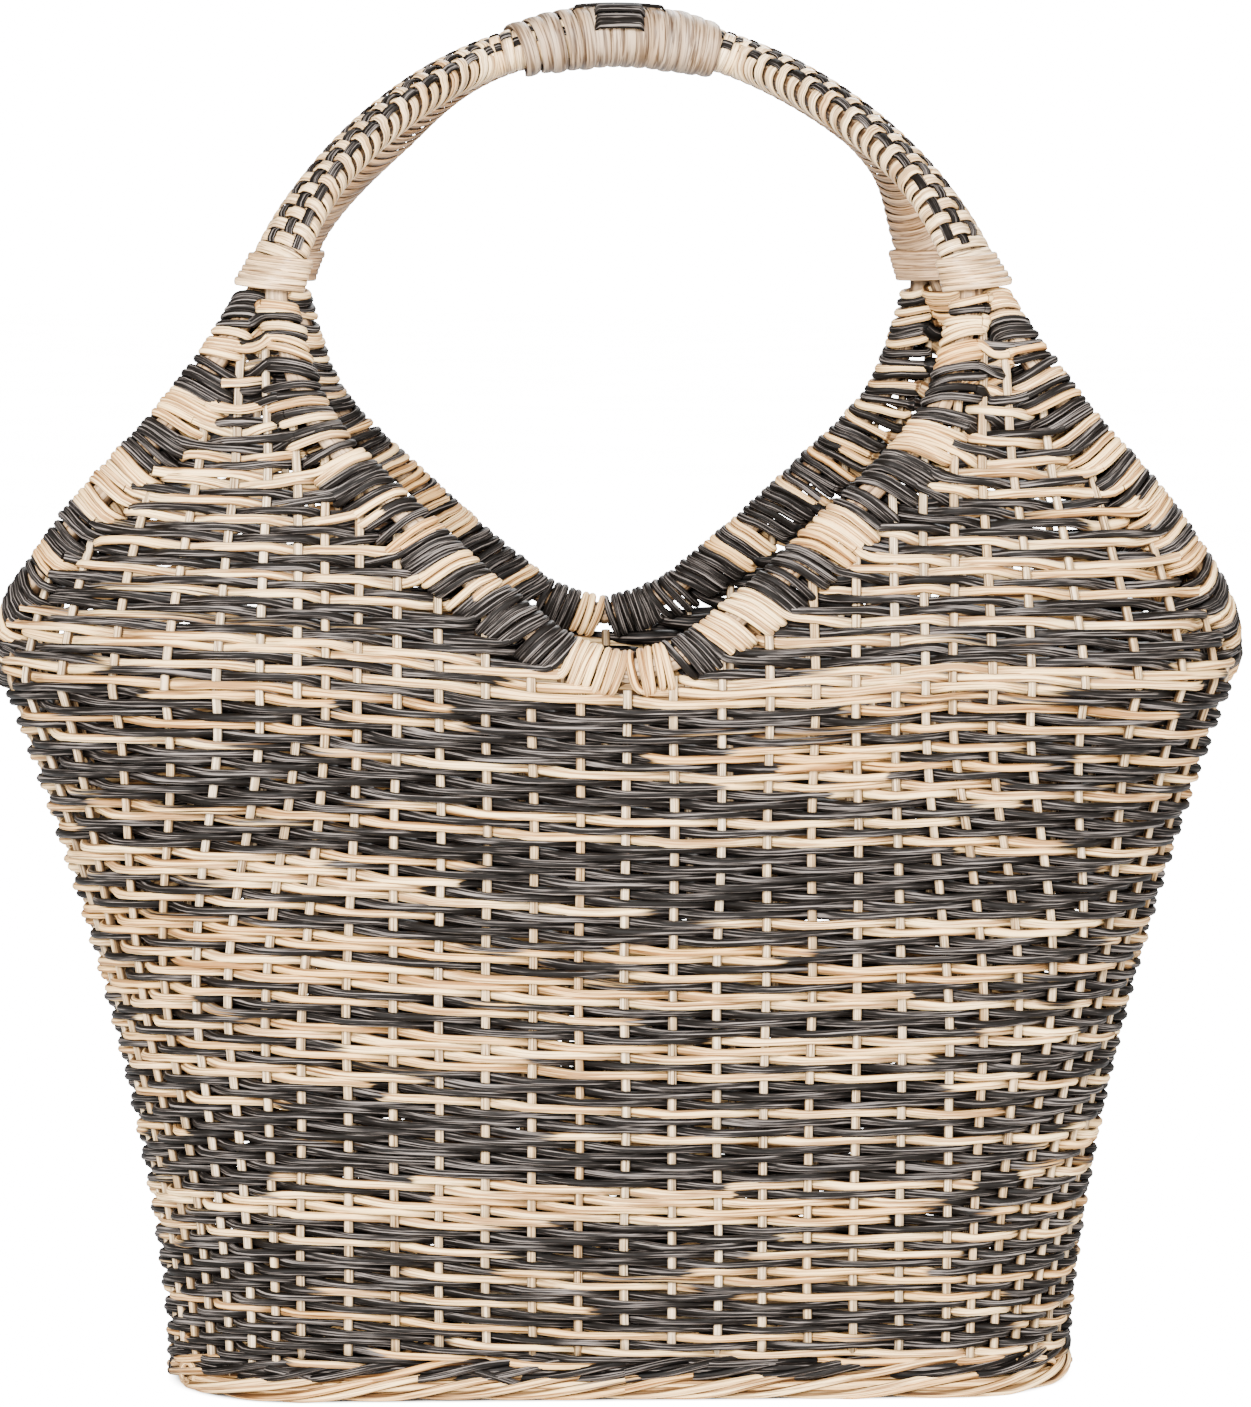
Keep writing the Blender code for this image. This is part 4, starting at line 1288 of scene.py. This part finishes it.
def make_floor():
    """A plain pale floor, as white as the backdrop behind it, and in shade under the basket."""
    mesh = bpy.data.meshes.new("floor")
    mesh.from_pydata([(x * floor_half, y * floor_half, 0)
                      for x, y in ((-1, -1), (1, -1), (1, 1), (-1, 1))], [], [(0, 1, 2, 3)])
    floor = put("floor", mesh)
    material, tree, shader = new_material("floor_pale")
    add = node_adder(tree)
    coords = add("TexCoord", out="Object")
    pale = colour_ramp(tree, add("TexNoise", {"Scale": 3.0, "Vector": coords}, "Fac"),
                       (0.4, (0.86, 0.86, 0.855)), (0.6, (0.89, 0.89, 0.885)))
    seen = add("Math", {0: add("LightPath", out="Is Camera Ray"), 1: floor_glow},
               operation="MULTIPLY")
    place = add("VectorMath", {0: coords}, operation="ABSOLUTE")
    place = add("VectorMath", {0: place, 1: (flat_half_width, flat_half_depth, 0.0)},
                operation="SUBTRACT")
    place = add("VectorMath", {0: place, 1: (0.0, 0.0, 0.0)}, operation="MAXIMUM")
    beyond = add("MapRange", {"Value": add("VectorMath", {0: place}, "Value",
                                           operation="LENGTH"),
                              "From Min": shade_ends, "From Max": glow_starts},
                 interpolation_type="SMOOTHSTEP")
    wire(tree, shader, {"Base Color": pale, "Roughness": 0.9, "Emission Color": pale,
                        "Emission Strength": add("Math", {0: seen, 1: beyond},
                                                 operation="MULTIPLY")})
    mesh.materials.append(material)


def make_light(name, place, size, power):
    """A soft lamp that looks at the basket."""
    lamp = bpy.data.lights.new(name, "AREA")
    lamp.shape = "DISK"
    lamp.size = size
    lamp.energy = power
    thing = put(name, lamp)
    thing.location = place
    look = Vector((0, 0, 0.22)) - Vector(place)
    thing.rotation_euler = look.to_track_quat("-Z", "Y").to_euler()


def make_world(glow, backdrop):
    """Pale light from all round, and a paler backdrop to look at."""
    world = bpy.data.worlds.new("studio")
    world.use_nodes = True
    tree = world.node_tree
    add = node_adder(tree)
    back = tree.nodes["Background"]
    wire(tree, back, {"Color": (*white, 1.0), "Strength": glow})
    seen = add("Background", {"Color": (*white, 1.0), "Strength": backdrop})
    mix = add("MixShader", {0: add("LightPath", out="Is Camera Ray"),
                            1: back.outputs[0], 2: seen})
    wire(tree, tree.nodes["World Output"], {"Surface": mix})
    bpy.context.scene.world = world


def make_camera():
    """The photograph's view."""
    azimuth = math.radians(-2)
    distance = 2.03
    height = 0.430
    aside = 0.0038
    focal = 5640.0
    width, tall, horizon = 1251, 1407, 160.0
    down = math.atan((tall / 2 - horizon) / focal)
    camera = bpy.data.cameras.new("camera")
    camera.sensor_fit = "HORIZONTAL"
    camera.sensor_width = 36.0
    camera.lens = 36.0 * focal / width
    thing = put("camera", camera)
    right = Vector((math.cos(azimuth), math.sin(azimuth), 0))
    ahead = Vector((-math.sin(azimuth) * math.cos(down), math.cos(azimuth) * math.cos(down),
                    -math.sin(down)))
    place = Vector((distance * math.sin(azimuth), -distance * math.cos(azimuth), height))
    place += right * aside
    up = right.cross(ahead)
    thing.matrix_world = Matrix((
        (right.x, up.x, -ahead.x, place.x), (right.y, up.y, -ahead.y, place.y),
        (right.z, up.z, -ahead.z, place.z), (0, 0, 0, 1)))
    bpy.context.scene.camera = thing


make_floor()
make_light("key", (-0.7, -2.8, 1.2), 1.0, 390)
make_light("fill", (1.9, -1.9, 1.2), 1.6, 90)
make_light("back", (0.6, 2.4, 2.2), 1.6, 150)
make_world(0.55, 18.0)
make_camera()
